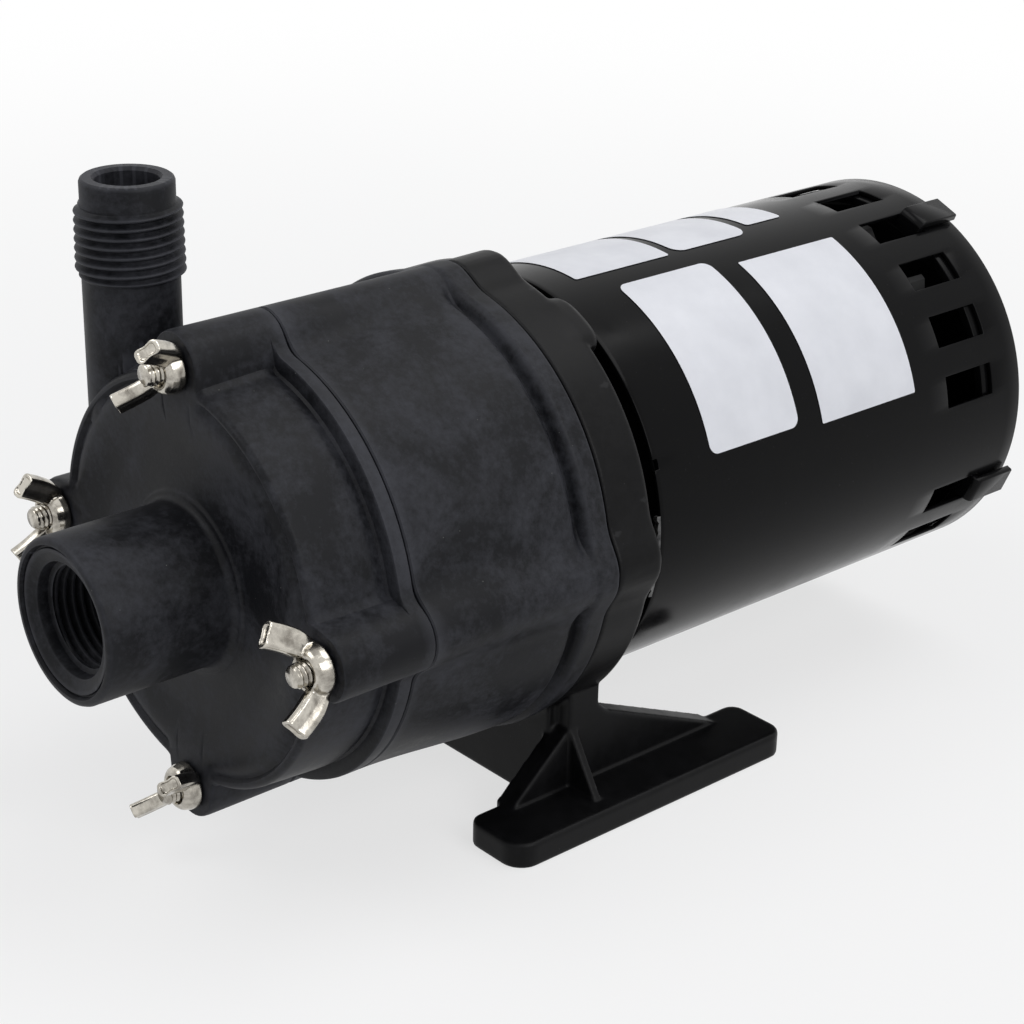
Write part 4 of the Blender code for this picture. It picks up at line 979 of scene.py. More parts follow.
def show(place: Place, solid: Solid, finish: Finish, sharp: float = 32.0) -> None:
    """Put a finished piece on its body.

    Args:
        place: Name, body, slot and nodes stood for.
        solid: Shape about the shaft line.
        finish: Finish of the whole piece.
        sharp: Angle in degrees from which an edge stays sharp.
    """
    mesh = solid.moved(Matrix.Translation(SHAFT_LINE)).mesh
    mesh.name = place.name
    mesh.shade_smooth()
    mesh.set_sharp_from_angle(angle=math.radians(sharp))
    mesh.materials.clear()
    mesh.materials.append(finish.material())
    piece = link(place.name, mesh)
    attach(piece, place.body.value)
    if place.replaces:
        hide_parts(*place.replaces)
    LOG.info("%s: %d faces on %s", place.name, len(mesh.polygons), place.body.value)


@dataclass
class VoluteHousing:
    """Moulded housing with the threaded inlet, the outlet and the pump chamber."""

    body_r: float = 0.0413
    body_blend: float = 0.0028
    rim_r: float = 0.0450
    rim_width: float = 0.0032
    rim_edge: Profile = ((0.0006, 0.0), (0.0002, 0.0001), (0.0, 0.0005), (-0.0001, 0.0030))
    rim_groove: Profile = ((0.0006, 0.0006), (0.0013, 0.0005), (0.0022, 0.0001))
    side_gap: float = 0.0032
    draft: float = 0.0010
    shoulder_r: float = 0.0012
    shoulder_groove: float = 0.0009
    groove_form: Profile = ((0.0003, 0.05), (0.0006, 0.45), (0.0010, 1.0), (0.0014, 0.95),
                            (0.0020, 0.45), (0.0028, 0.15), (0.0036, 0.0))
    boss_rise: float = 0.0002
    boss_edge: float = 0.0004
    face_depth: float = 0.0203
    dish: float = 0.0012
    dish_width: float = 0.0100
    inlet_r: float = 0.0163
    inlet_fillet: float = 0.0015
    inlet_edge: Profile = ((0.0009, 0.0), (0.0004, 0.0002), (0.0001, 0.0006), (0.0, 0.0011))
    collar: float = 0.0005
    collar_form: Profile = ((0.0012, 0.0), (0.0008, 0.1), (0.0005, 0.45), (0.0003, 0.85))
    lip_r: float = 0.0145
    mouth_r: float = 0.0111
    inlet_thread_r: float = 0.0098
    inlet_thread_depth: float = 0.00115
    inlet_thread_end: float = 0.0200
    throat_r: float = 0.0094
    chamber_r: float = 0.0345
    front_wall: float = 0.0045
    outlet_offset: float = 0.0284
    outlet_inset: float = 0.0095
    outlet_r: float = 0.00946
    outlet_bore_r: float = 0.0062
    outlet_lead_r: float = 0.0091
    outlet_lead: float = 0.0046
    outlet_thread_r: float = 0.01062
    outlet_thread_length: float = 0.0148
    outlet_flare: float = 0.0022
    outlet_foot: float = 0.0235
    pipe_columns: int = 128
    pipe_pitch: float = 0.001814
    spindle_hole_r: float = 0.0035

    def __post_init__(self) -> None:
        """Read the housing's ends from the frame."""
        low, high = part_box("volute_housing")
        self.inlet_y = low.y
        self.back_y = high.y
        self.top = high.z - SHAFT_LINE.z
        self.face_y = self.back_y - self.face_depth
        self.chamber_y = self.face_y + self.front_wall

    def skin_radius(self, y: float) -> float:
        """Give the round body's radius at a place along the shaft line.

        Args:
            y: Place along the shaft line.

        Returns:
            Radius of the outside.
        """
        if y > self.back_y - self.rim_width:
            return self.rim_r
        if y > self.face_y + self.shoulder_r:
            length = self.face_depth - self.shoulder_r
            return self.body_r + self.draft * (y - self.face_y - self.shoulder_r) / length
        depth = max(0.0, y - self.face_y)
        rise = self.shoulder_r - depth
        return self.body_r - self.shoulder_r + math.sqrt(
            max(0.0, self.shoulder_r ** 2 - rise ** 2))

    def outside(self) -> Solid:
        """Loft the outside from the rear rim to the inlet's face.

        Returns:
            The outside as a full solid.
        """
        outline = Outline(blend=self.body_blend)
        rim_y = self.back_y - self.rim_width
        ridge_r = self.body_r - self.shoulder_r
        boss_y = self.face_y - self.boss_rise
        rings = [outline.ring(self.back_y, self.rim_r - 0.0003, LOBE_R - 0.0002),
                 outline.ring(self.back_y - 0.0003, self.rim_r, LOBE_R)]
        for rise, inset in self.rim_edge:
            rings.append(outline.ring(rim_y + rise, self.rim_r - inset, LOBE_R))
        for drop, inset in self.rim_groove:
            rings.append(outline.ring(rim_y - drop, self.skin_radius(rim_y - drop) - inset,
                                      LOBE_R))
        side_y = rim_y - self.side_gap
        for step in range(6):
            y = side_y - (side_y - self.face_y - self.shoulder_r) * step / 5.0
            rings.append(outline.ring(y, self.skin_radius(y), LOBE_R))
        for step in range(1, 9):
            turn = math.radians(90.0 * step / 8.0)
            y = self.face_y + self.shoulder_r - (self.shoulder_r
                                                 + self.boss_rise) * math.sin(turn)
            edge = self.boss_edge * (1.0 - math.cos(turn))
            rings.append(outline.ring(y, ridge_r + self.shoulder_r * math.cos(turn),
                                      LOBE_R - edge))
        for inset, share in self.groove_form:
            rings.append(outline.ring(boss_y, ridge_r - inset,
                                      LOBE_R - self.boss_edge - 0.5 * inset,
                                      self.shoulder_groove * share))
        edge_r = ridge_r - self.groove_form[-1][0]
        last = [math.hypot(point.x, point.z) for point in rings[-1]]
        for step in range(1, 13):
            ring = []
            for reach, angle in zip(last, outline.angles()):
                radius = reach + (edge_r - self.dish_width - reach) * step / 12.0
                depth = self.dish * smoothstep((edge_r - radius) / self.dish_width)
                ring.append(polar(radius, angle, boss_y + depth))
            rings.append(ring)
        floor_y = boss_y + self.dish
        foot_r = self.inlet_r + self.inlet_fillet
        rings.append(outline.circle(floor_y, 0.5 * (foot_r + edge_r - self.dish_width)))
        for reach, rise in self.collar_form:
            rings.append(outline.circle(floor_y - self.collar * rise, foot_r + reach))
        for step in range(9):
            turn = math.radians(90.0 - 90.0 * step / 8.0)
            y = floor_y - self.collar - self.inlet_fillet * (1.0 - math.sin(turn))
            rings.append(outline.circle(y, foot_r - self.inlet_fillet * math.cos(turn)))
        rings.append(outline.circle(0.5 * (self.face_y + self.inlet_y), self.inlet_r))
        for rise, inset in self.inlet_edge:
            rings.append(outline.circle(self.inlet_y + rise, self.inlet_r - inset))
        return Solid.loft(rings)

    def outlet(self) -> tuple[Solid, Solid]:
        """Build the outlet pipe with its male thread, and the fillet that meets the body.

        Returns:
            The pipe and the fillet as full solids.
        """
        lead_z = self.top - self.outlet_lead
        thread_z = lead_z - self.outlet_thread_length
        depth = self.outlet_thread_r - self.outlet_r
        form = Thread(self.pipe_pitch, depth, 0.0012, 0.0010)
        lathe = Lathe(self.pipe_columns)
        lathe.to((0.0, self.outlet_foot))
        plain = thread_z - self.outlet_foot
        lathe.to(*((self.outlet_r, self.outlet_foot + plain * step / 12.0)
                   for step in range(13)))
        lathe.thread(form, self.outlet_r - 0.00025, lead_z)
        lathe.to((self.outlet_lead_r, lead_z + 0.0003),
                 (self.outlet_lead_r, self.top - 0.0008),
                 (self.outlet_lead_r - 0.0002, self.top - 0.0003),
                 (self.outlet_lead_r - 0.0006, self.top), (0.0, self.top))
        rings = [self.flare_ring(step / 8.0) for step in range(9)]
        rings.append([Vector((0.99 * p.x, 0.99 * p.y, p.z + 0.0010)) for p in rings[-1]])
        rings.insert(0, [Vector((0.6 * p.x, 0.6 * p.y, p.z - 0.0040)) for p in rings[0]])
        skirt = Solid.loft(rings)
        place = Vector((-self.outlet_offset, self.face_y + self.outlet_inset, 0.0))
        pipe = lathe.solid().moved(Matrix.Translation(place) @ upright())
        return pipe, skirt.moved(Matrix.Translation(place))

    def flare_ring(self, share: float) -> list[Vector]:
        """Give one ring of the fillet between the outlet pipe and the body.

        Args:
            share: 0 where the fillet meets the body, 1 where it meets the pipe.

        Returns:
            Points with the pipe's centre as origin and Z upright.
        """
        ring = []
        turn = math.radians(90.0 * share)
        for index in range(self.pipe_columns):
            angle = math.tau * index / self.pipe_columns
            across, along = math.cos(angle), math.sin(angle)
            flare = self.outlet_flare * smoothstep((along + 0.9) / 0.6)
            reach = self.outlet_r - 0.00005 + flare * (1.0 - math.sin(turn))
            x, y = reach * across, reach * along
            skin = self.skin_radius(max(self.face_y + 0.003, self.face_y
                                        + self.outlet_inset + y))
            height = math.sqrt(max(0.0, skin ** 2 - (x - self.outlet_offset) ** 2))
            ring.append(Vector((x, y, height + flare * (1.0 - math.cos(turn))
                                - 0.0003 * (1.0 - share))))
        return ring

    def hollow(self) -> Solid:
        """Turn the inlet's mouth, female thread, throat and pump chamber as a cutter.

        Returns:
            The cutter.
        """
        lathe = Lathe(144)
        front = self.inlet_y
        lathe.to((0.0, front - 0.001), (self.lip_r + 0.0006, front - 0.001),
                 (self.lip_r + 0.0003, front + 0.0001), (self.lip_r + 0.0001, front + 0.0004),
                 (self.lip_r, front + 0.0010), (self.lip_r - 0.0003, front + 0.0010),
                 (self.lip_r - 0.0005, front + 0.0006), (self.lip_r - 0.0010, front + 0.0006),
                 (0.5 * (self.lip_r + self.mouth_r), front + 0.0010),
                 (self.mouth_r + 0.0007, front + 0.0014), (self.mouth_r + 0.0002, front + 0.0017),
                 (self.mouth_r, front + 0.0022), (self.mouth_r - 0.0001, front + 0.0038),
                 (self.inlet_thread_r + 0.0002, front + 0.0042))
        form = Thread(self.pipe_pitch, self.inlet_thread_depth, 0.0003, 0.0012,
                      (0.0, 0.05, 0.35, 0.85, 1.0, 0.85, 0.35, 0.05))
        lathe.thread(form, self.inlet_thread_r - 0.0003, front + self.inlet_thread_end)
        lathe.to((self.throat_r, front + self.inlet_thread_end + 0.0014),
                 (self.throat_r, self.chamber_y - 0.0015),
                 (self.throat_r + 0.0015, self.chamber_y), (self.chamber_r, self.chamber_y),
                 (self.chamber_r, self.back_y + 0.001), (0.0, self.back_y + 0.001))
        return lathe.solid()

    def spider(self) -> Solid:
        """Build the spindle's front support: a hub on three arms across the throat.

        Returns:
            The support.
        """
        back = self.chamber_y - 0.0012
        front = back - 0.0050
        hub_r = self.spindle_hole_r + 0.0020
        hub = Lathe(64).to((self.spindle_hole_r, front), (hub_r - 0.0005, front),
                           (hub_r, front + 0.0005), (hub_r, back),
                           (self.spindle_hole_r, back)).solid(closed=True)
        half = 0.0009
        outline = [(hub_r - 0.0008, -half), (self.throat_r + 0.0008, -half),
                   (self.throat_r + 0.0008, half), (hub_r - 0.0008, half)]
        arms = [Solid.prism(outline, "Y", front + 0.0004, back - 0.0004).moved(
                about_shaft(90.0 + 120.0 * index)) for index in range(3)]
        return hub.union(*arms)

    def bore(self) -> Solid:
        """Make the cutter of the outlet's bore.

        Returns:
            The cutter.
        """
        place = Vector((-self.outlet_offset, self.face_y + self.outlet_inset, 0.0))
        lathe = Lathe(96).to((0.0, 0.0), (self.outlet_bore_r, 0.0),
                             (self.outlet_bore_r, self.top - 0.0007),
                             (self.outlet_bore_r + 0.0006, self.top + 0.0001),
                             (self.outlet_bore_r + 0.0006, self.top + 0.001),
                             (0.0, self.top + 0.001))
        return lathe.solid().moved(Matrix.Translation(place) @ upright())

    def build(self) -> None:
        """Shape the housing, cut its bores and put it on the pump."""
        pipe, skirt = self.outlet()
        solid = self.outside().union(pipe, skirt).minus(self.hollow(), self.bore())
        holes = bolt_holes(self.face_y - 0.004, self.back_y + 0.002, 32)
        solid = solid.minus(*holes).union(self.spider())
        show(Place("moulded_volute", Body.PUMP, Slot.CASING, ("volute_housing",)), solid,
             CASING_PLASTIC)


@dataclass
class MotorBracket:
    """Moulded bracket between the volute and the base, with a bead along its rear."""

    front_r: float = 0.0450
    growth: float = 0.0022
    bead_width: float = 0.0062
    bead_rise: float = 0.0010
    groove: float = 0.0019
    groove_form: Profile = ((0.0024, 0.06), (0.0017, 0.30), (0.0011, 0.72), (0.0006, 0.97),
                            (0.0002, 1.0), (-0.0001, 0.85), (-0.0003, 0.45))
    bore_r: float = 0.0390
    seat_r: float = 0.0388
    step_r: float = 0.0350

    def outside(self, front: float, back: float) -> Solid:
        """Loft the bracket's outside.

        Args:
            front: Place of its front face.
            back: Place of its rear face.

        Returns:
            The outside as a full solid.
        """
        outline = Outline()
        bead_y = back - self.bead_width
        rings = [outline.ring(front, self.front_r - 0.0003, LOBE_R - 0.0003),
                 outline.ring(front + 0.0003, self.front_r, LOBE_R)]
        barrel_y = bead_y - 0.0030
        for step in range(1, 13):
            share = step / 12.0
            y = front + (barrel_y - front) * share
            rings.append(outline.ring(y, self.front_r + self.growth * smoothstep(share), LOBE_R))
        full_r = self.front_r + self.growth
        for before, share in self.groove_form:
            rings.append(outline.ring(bead_y - before, full_r - self.groove * share, LOBE_R))
        for step in range(1, 13):
            share = step / 12.0
            rise = self.bead_rise * smoothstep(4.5 * share) * (1.0 - 0.35 * share ** 3)
            rings.append(outline.ring(bead_y + 0.0003 + (self.bead_width - 0.0006) * share,
                                      full_r + rise, LOBE_R + 0.2 * rise))
        rings.append(outline.ring(back, full_r, LOBE_R - 0.0003))
        return Solid.loft(rings)

    def build(self) -> None:
        """Shape the bracket, hollow it and put it on the pump."""
        low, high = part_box("motor_bracket")
        front, back = low.y, high.y
        hollow = Lathe(144).to((0.0, front - 0.002), (self.seat_r, front - 0.002),
                               (self.seat_r, front + 0.0035), (self.step_r, front + 0.0035),
                               (self.step_r, front + 0.0062), (self.bore_r, front + 0.0082),
                               (self.bore_r, back + 0.002), (0.0, back + 0.002)).solid()
        holes = bolt_holes(front - 0.002, back + 0.002, 24)
        solid = self.outside(front, back).minus(hollow).minus(*holes)
        show(Place("moulded_bracket", Body.PUMP, Slot.CASING, ("motor_bracket",)), solid,
             CASING_PLASTIC)


@dataclass
class MountingBase:
    """Moulded base: flange, saddle lug, cross web, flared walls, gussets and feet."""

    flange_r: float = 0.0479
    flange_depth: float = 0.0115
    flange_edge: float = 0.0014
    opening_r: float = 0.0240
    pocket_r: float = 0.0050
    pocket_depth: float = 0.0041
    half_width: float = 0.0348
    wall: float = 0.0050
    web: float = 0.0030
    trunk_front: float = 0.0007
    trunk_drop: float = 0.0400
    trunk_top: float = 0.0260
    trunk_heel: float = 0.0025
    front_reach: float = 0.0145
    rear_reach: float = 0.0440
    foot_height: float = 0.0057
    foot_form: Profile = ((0.0, 0.0003), (0.0003, 0.0), (0.0050, 0.0), (0.0055, 0.0002),
                          (0.0057, 0.0007))
    foot_inner: float = 0.0310
    foot_outer: float = 0.0470
    foot_corners: tuple[float, ...] = (0.0042, 0.0032, 0.0032, 0.0050)
    gusset: float = 0.0019
    gusset_reach: float = 0.0082
    saddle_angle: float = 62.5
    saddle_half: float = 8.5
    saddle_r: float = 0.0482
    saddle_depth: float = 0.0042
    saddle_form: Profile = ((-0.0090, 0.0012), (-0.0050, 0.0004), (-0.0010, 0.0),
                            (0.00231, 0.0003), (0.00357, 0.0010), (0.0042, 0.0024))
    shell_r: float = 0.0440
    skin: float = 0.00042

    def __post_init__(self) -> None:
        """Read the flange's and the feet's ends from the frame."""
        low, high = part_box("mounting_base")
        self.foot_front = low.y
        self.foot_rear = high.y
        self.floor = low.z - SHAFT_LINE.z
        self.front_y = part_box("motor_bracket")[1].y + 0.0003
        self.back_y = self.front_y + self.flange_depth
        self.foot_top = self.floor + self.foot_height

    def flange(self) -> Solid:
        """Loft the flange, whose outline carries on the bracket's lobes.

        Returns:
            The flange.
        """
        outline = Outline(columns=216)
        rings = [outline.ring(self.front_y, self.flange_r - 0.0002, LOBE_R),
                 outline.ring(self.back_y - self.flange_edge, self.flange_r,
                              LOBE_R + 0.0002)]
        for step in range(1, 6):
            turn = math.radians(18.0 * step)
            inset = self.flange_edge * (1.0 - math.cos(turn))
            rings.append(outline.ring(self.back_y - self.flange_edge * (1.0 - math.sin(turn)),
                                      self.flange_r - inset, LOBE_R + 0.0002 - inset))
        return Solid.loft(rings)

    def saddle(self) -> Solid:
        """Make the lug that reaches back over the motor's front edge.

        Returns:
            The lug.
        """
        steps = 16
        rings = []
        for reach, inset in self.saddle_form:
            outer, inner = [], []
            for step in range(steps + 1):
                part = 2.0 * step / steps - 1.0
                angle = self.saddle_angle + self.saddle_half * part
                y = self.back_y + reach - 0.0016 * max(0.0, reach / self.saddle_depth) * part ** 4
                outer.append(polar(self.saddle_r - inset - 0.0008 * part ** 6, angle, y))
                inner.append(polar(self.shell_r, angle, y))
            rings.append(outer + inner[::-1])
        return Solid.loft(rings)

    def foot(self) -> Solid:
        """Make the right foot bar with rounded corners and a rounded top edge.

        Returns:
            The foot bar.
        """
        rings = []
        for rise, inset in self.foot_form:
            z = self.floor + rise
            low_x, high_x = self.foot_inner + inset, self.foot_outer - inset
            low_y, high_y = self.foot_front + inset, self.foot_rear - inset
            ring = []
            for index, (x, y) in enumerate(((high_x, high_y), (low_x, high_y), (low_x, low_y),
                                            (high_x, low_y))):
                radius = self.foot_corners[index] - inset
                middle = (x - math.copysign(radius, x - 0.5 * (low_x + high_x)),
                          y - math.copysign(radius, y - 0.5 * (low_y + high_y)))
                for step in range(9):
                    turn = math.radians(90.0 * index + 90.0 * step / 8.0)
                    ring.append(Vector((middle[0] + radius * math.cos(turn),
                                        middle[1] + radius * math.sin(turn), z)))
            rings.append(ring)
        return Solid.loft(rings)

    def wall_plate(self) -> Solid:
        """Make the right side wall, flaring fore and aft down to the foot.

        Returns:
            The wall.
        """
        sunk = self.foot_top - 0.003
        front = self.trunk_front
        rear = self.back_y - 0.0006
        outline = [(front, -self.trunk_top), (front, -self.trunk_drop - 0.001),
                   (-self.front_reach, self.foot_top), (-self.front_reach, sunk),
                   (self.rear_reach, sunk), (self.rear_reach, self.foot_top),
                   (rear + self.trunk_heel, -self.trunk_drop),
                   (rear, -self.trunk_drop + self.trunk_heel), (rear, -self.trunk_top)]
        return Solid.prism(outline, "X", self.half_width - self.wall, self.half_width)

    def gusset_plate(self) -> Solid:
        """Make the right outer gusset between wall and foot.

        Returns:
            The gusset.
        """
        start = self.half_width - 0.001
        outline = [(start, -self.trunk_drop - 0.001), (self.half_width, -self.trunk_drop - 0.001),
                   (self.half_width + self.gusset_reach, self.foot_top),
                   (self.half_width + self.gusset_reach, self.foot_top - 0.001),
                   (start, self.foot_top - 0.001)]
        front = self.trunk_front + 0.0001
        return Solid.prism(outline, "Y", front, front + self.gusset)

    def build(self) -> None:
        """Join the base's members, melt them into one moulding and put it on the pump."""
        half = self.half_width - self.wall + 0.001
        web = Solid.prism([(-half, self.floor), (half, self.floor), (half, -self.trunk_top),
                           (-half, -self.trunk_top)], "Y", -0.5 * self.web, 0.5 * self.web)
        members = [web, self.saddle()]
        mirror = Matrix.Scale(-1.0, 4, (1.0, 0.0, 0.0))
        for make in (self.wall_plate, self.gusset_plate, self.foot):
            members.append(make())
            other = make().moved(mirror)
            other.mesh.flip_normals()
            members.append(other)
        solid = self.flange().union(*members)
        back = self.back_y + 0.002
        cutters = [plug(self.opening_r, self.front_y - 0.002, back, 96)]
        for angle in BOLT_ANGLES.values():
            pocket = plug(self.pocket_r, self.back_y - self.pocket_depth, back, 6)
            cutters.append(pocket.moved(at_bolt(angle) @ about_shaft(angle)))
        solid = solid.minus(*cutters).moulded(self.skin, 4, 0.45)
        show(Place("moulded_base", Body.PUMP, Slot.BASE, ("mounting_base",)), solid,
             BASE_PLASTIC, sharp=180.0)


@dataclass
class CaseBolt:
    """Long bolt through the casing, with a threaded tip and a hexagon head."""

    corner: str
    shank_r: float = 0.0024
    pitch: float = 0.00106
    depth: float = 0.00034
    thread_length: float = 0.0150
    head_r: float = 0.0046
    head_height: float = 0.0035

    def build(self) -> None:
        """Turn the bolt, join its head and put it on the pump."""
        node = f"case_bolt_{self.corner}"
        low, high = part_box(node)
        root = self.shank_r - self.depth
        form = Thread(self.pitch, self.depth, 0.0006, 0.0010, (0.0, 0.34, 0.80, 1.0, 0.80, 0.34))
        shank = Lathe(48).to((0.0, low.y), (root - 0.0003, low.y), (root, low.y + 0.0003))
        shank.thread(form, root, low.y + self.thread_length)
        shank.to((self.shank_r - 0.0001, low.y + self.thread_length + 0.0004),
                 (self.shank_r - 0.0001, high.y - 0.003), (0.0, high.y - 0.003))
        seat = high.y - self.head_height
        head = Lathe(6).to((0.0, seat), (self.head_r, seat),
                           (self.head_r, high.y - 0.0004), (self.head_r - 0.0005, high.y),
                           (0.0, high.y)).solid()
        angle = BOLT_ANGLES[self.corner]
        solid = head.union(shank.solid()).moved(at_bolt(angle) @ about_shaft(angle))
        show(Place(f"threaded_bolt_{self.corner}", Body.PUMP, Slot.NICKEL, (node,)), solid,
             NICKEL, sharp=50.0)


@dataclass
class WingNut:
    """Die-cast wing nut: a low tapered hub with two bars that lie in one plane with the bolt."""

    corner: str
    body: Body
    wing_angle: float
    hub_r: float = 0.0049
    hub_top_r: float = 0.0040
    hub_height: float = 0.0036
    hole_r: float = 0.0026
    root_r: float = 0.0029
    root_rise: float = 0.0006
    tip_r: float = 0.0088
    tip_rise: float = 0.0089
    bar_width: float = 0.0052
    bar_thickness: float = 0.0032
    waist: float = 0.74
    bow: float = 0.0005
    voxel: float = 0.00014

    def section(self, place: Vector, across: Vector, size: float) -> list[Vector]:
        """Give one cross section of a bar: a rounded oblong with thicker edges.

        Args:
            place: Its centre.
            across: Direction of its width.
            size: Share of the full size.

        Returns:
            The section's points, none of them under the nut's seat.
        """
        ring = []
        for index in range(40):
            angle = math.tau * index / 40
            wide, thick = (math.copysign(abs(value) ** 0.6, value)
                           for value in (math.cos(angle), math.sin(angle)))
            hollow = self.waist + (1.0 - self.waist) * smoothstep(abs(wide) / 0.8)
            point = place + across * (0.5 * self.bar_width * size * wide)
            point.z += 0.5 * self.bar_thickness * size * thick * hollow
            point.y = min(point.y, -0.0001)
            ring.append(point)
        return ring

    def wing(self) -> Solid:
        """Loft one bar from inside the hub to its flat end, which has a raised rim.

        Returns:
            The bar, reaching along +X and towards the inlet.
        """
        root = Vector((self.root_r, -self.root_rise, 0.0))
        tip = Vector((self.tip_r, -self.tip_rise, 0.0))
        along = (tip - root).normalized()
        across = Vector((-along.y, along.x, 0.0))
        rings = []
        for step in range(13):
            share = step / 12.0
            place = root.lerp(tip, share) + across * (self.bow * math.sin(math.pi * share))
            rings.append(self.section(place, across, 0.80 + 0.20 * smoothstep(2.2 * share)))
        for past, size in ((0.00012, 0.93), (0.00012, 0.74), (-0.0003, 0.66)):
            rings.append(self.section(tip + along * past, across, size))
        return Solid.loft(rings)

    def build(self) -> None:
        """Join hub and wings, melt them into one casting, cut the hole and put it on."""
        node = f"wing_nut_{self.corner}"
        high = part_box(node)[1]
        hub = Lathe(64).to((0.0, 0.0), (self.hub_r - 0.0003, 0.0), (self.hub_r, -0.0003),
                           (self.hub_r - 0.0001, -0.0015), (self.hub_top_r + 0.0004, -0.0028),
                           (self.hub_top_r, -self.hub_height + 0.0003),
                           (self.hub_top_r - 0.0005, -self.hub_height),
                           (0.0, -self.hub_height)).solid()
        wings = [self.wing(), self.wing().moved(about_shaft(180.0))]
        solid = hub.union(*wings).moulded(self.voxel, 3, 0.5)
        bore = Lathe(40).to((0.0, -0.0060), (self.hole_r + 0.0008, -0.0060),
                            (self.hole_r + 0.0004, -self.hub_height),
                            (self.hole_r, -self.hub_height + 0.0005), (self.hole_r, 0.001),
                            (0.0, 0.001)).solid()
        place = at_bolt(BOLT_ANGLES[self.corner], high.y)
        solid = solid.minus(bore).moved(place @ about_shaft(self.wing_angle))
        show(Place(f"cast_wing_nut_{self.corner}", self.body, Slot.NICKEL, (node,)), solid,
             NICKEL, sharp=60.0)


@dataclass
class MotorShell:
    """Rolled sheet-steel shell with a ring of cooling windows near its rear."""

    radius: float = 0.04367
    wall: float = 0.0010
    window_count: int = 20
    first_angle: float = 67.5
    blank_angle: float = -4.5
    window_arc: float = 9.4
    window_front: float = 0.1045
    window_back: float = 0.1199
    notch_from: float = 19.5
    notch_to: float = 22.5
    notch_depth: float = 0.0012
    edge_rounding: float = 0.00018

    def columns(self) -> list[tuple[float, bool]]:
        """List the angles of the mesh columns and whether a window starts there.

        Returns:
            Pairs of an angle and whether the next strip lies in a window.
        """
        step = 360.0 / self.window_count
        columns = []
        for index in range(self.window_count):
            centre = self.first_angle + step * index
            is_open = abs((centre - self.blank_angle + 180.0) % 360.0 - 180.0) > 1.0
            start = centre - 0.5 * self.window_arc
            columns += [(start + self.window_arc * part / 6.0, is_open) for part in range(6)]
            land = step - self.window_arc
            columns += [(start + self.window_arc + land * part / 6.0, False)
                        for part in range(6)]
        return columns

    def build(self) -> None:
        """Lay out the sheet with its windows and notch, thicken it and put it on the pump."""
        low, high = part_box("motor_shell")
        columns = self.columns()
        stations = [low.y, low.y + self.notch_depth]
        stations += [stations[1] + (self.window_front - stations[1]) * part / 14.0
                     for part in range(1, 15)]
        window_row = len(stations) - 1
        stations += [self.window_back, high.y - 0.0042, high.y - 0.0002]
        bm = bmesh.new()
        grid = [[bm.verts.new(polar(self.radius, angle, y)) for angle, _ in columns]
                for y in stations]
        for row in range(len(stations) - 1):
            for column, (angle, is_open) in enumerate(columns):
                middle = (angle + 180.0) % 360.0 - 180.0
                notched = row == 0 and self.notch_from < middle < self.notch_to
                if notched or (row == window_row and is_open):
                    continue
                after = (column + 1) % len(columns)
                bm.faces.new((grid[row][column], grid[row][after],
                              grid[row + 1][after], grid[row + 1][column]))
        solid = thickened(Solid.from_bmesh(bm), self.wall, -1.0).bevelled(self.edge_rounding, 60.0)
        show(Place("rolled_shell", Body.PUMP, Slot.PAINT, ("motor_shell",)), solid,
             BLACK_ENAMEL, sharp=50.0)


@dataclass
class Label:
    """Bare label wrapped round the motor's shell, with rounded corners."""

    name: str
    front: float
    back: float
    low_angle: float
    high_angle: float
    corner_r: float
    radius: float = 0.04379
    thickness: float = 0.00006
    corner_steps: int = 8
    columns: int = 48

    def outline_inset(self, share: float, length: float) -> float:
        """Give how far the rounded corner cuts into a row of the label.

        Args:
            share: Place along the shaft line within the label.
            length: Length of the label along the shaft line.

        Returns:
            Distance cut from each end of the row.
        """
        from_end = min(share, 1.0 - share) * length
        if from_end >= self.corner_r:
            return 0.0
        rise = self.corner_r - from_end
        return self.corner_r - math.sqrt(max(0.0, self.corner_r ** 2 - rise ** 2))

    def rows(self) -> list[float]:
        """List the rows' places along the label, closer together at its corners.

        Returns:
            The places as shares of the label's length.
        """
        length = self.back - self.front
        turns = [math.radians(90.0 * step / self.corner_steps)
                 for step in range(self.corner_steps + 1)]
        half = [self.corner_r / length * (1.0 - math.cos(turn)) for turn in turns]
        return half + [1.0 - share for share in half[::-1]]

    def build(self) -> None:
        """Lay the label on the shell."""
        length = self.back - self.front
        bm = bmesh.new()
        grid = []
        rows = self.rows()
        arc = math.radians(self.high_angle - self.low_angle) * self.radius
        for share in rows:
            inset = self.outline_inset(share, length)
            row = []
            for column in range(self.columns + 1):
                along = inset + (arc - 2.0 * inset) * column / self.columns
                angle = self.low_angle + math.degrees(along / self.radius)
                row.append(bm.verts.new(polar(self.radius, angle, self.front + share * length)))
            grid.append(row)
        for row in range(len(rows) - 1):
            for column in range(self.columns):
                bm.faces.new((grid[row][column], grid[row][column + 1],
                              grid[row + 1][column + 1], grid[row + 1][column]))
        show(Place(self.name, Body.PUMP, None),
             thickened(Solid.from_bmesh(bm), self.thickness, 1.0), WHITE_LABEL, sharp=60.0)


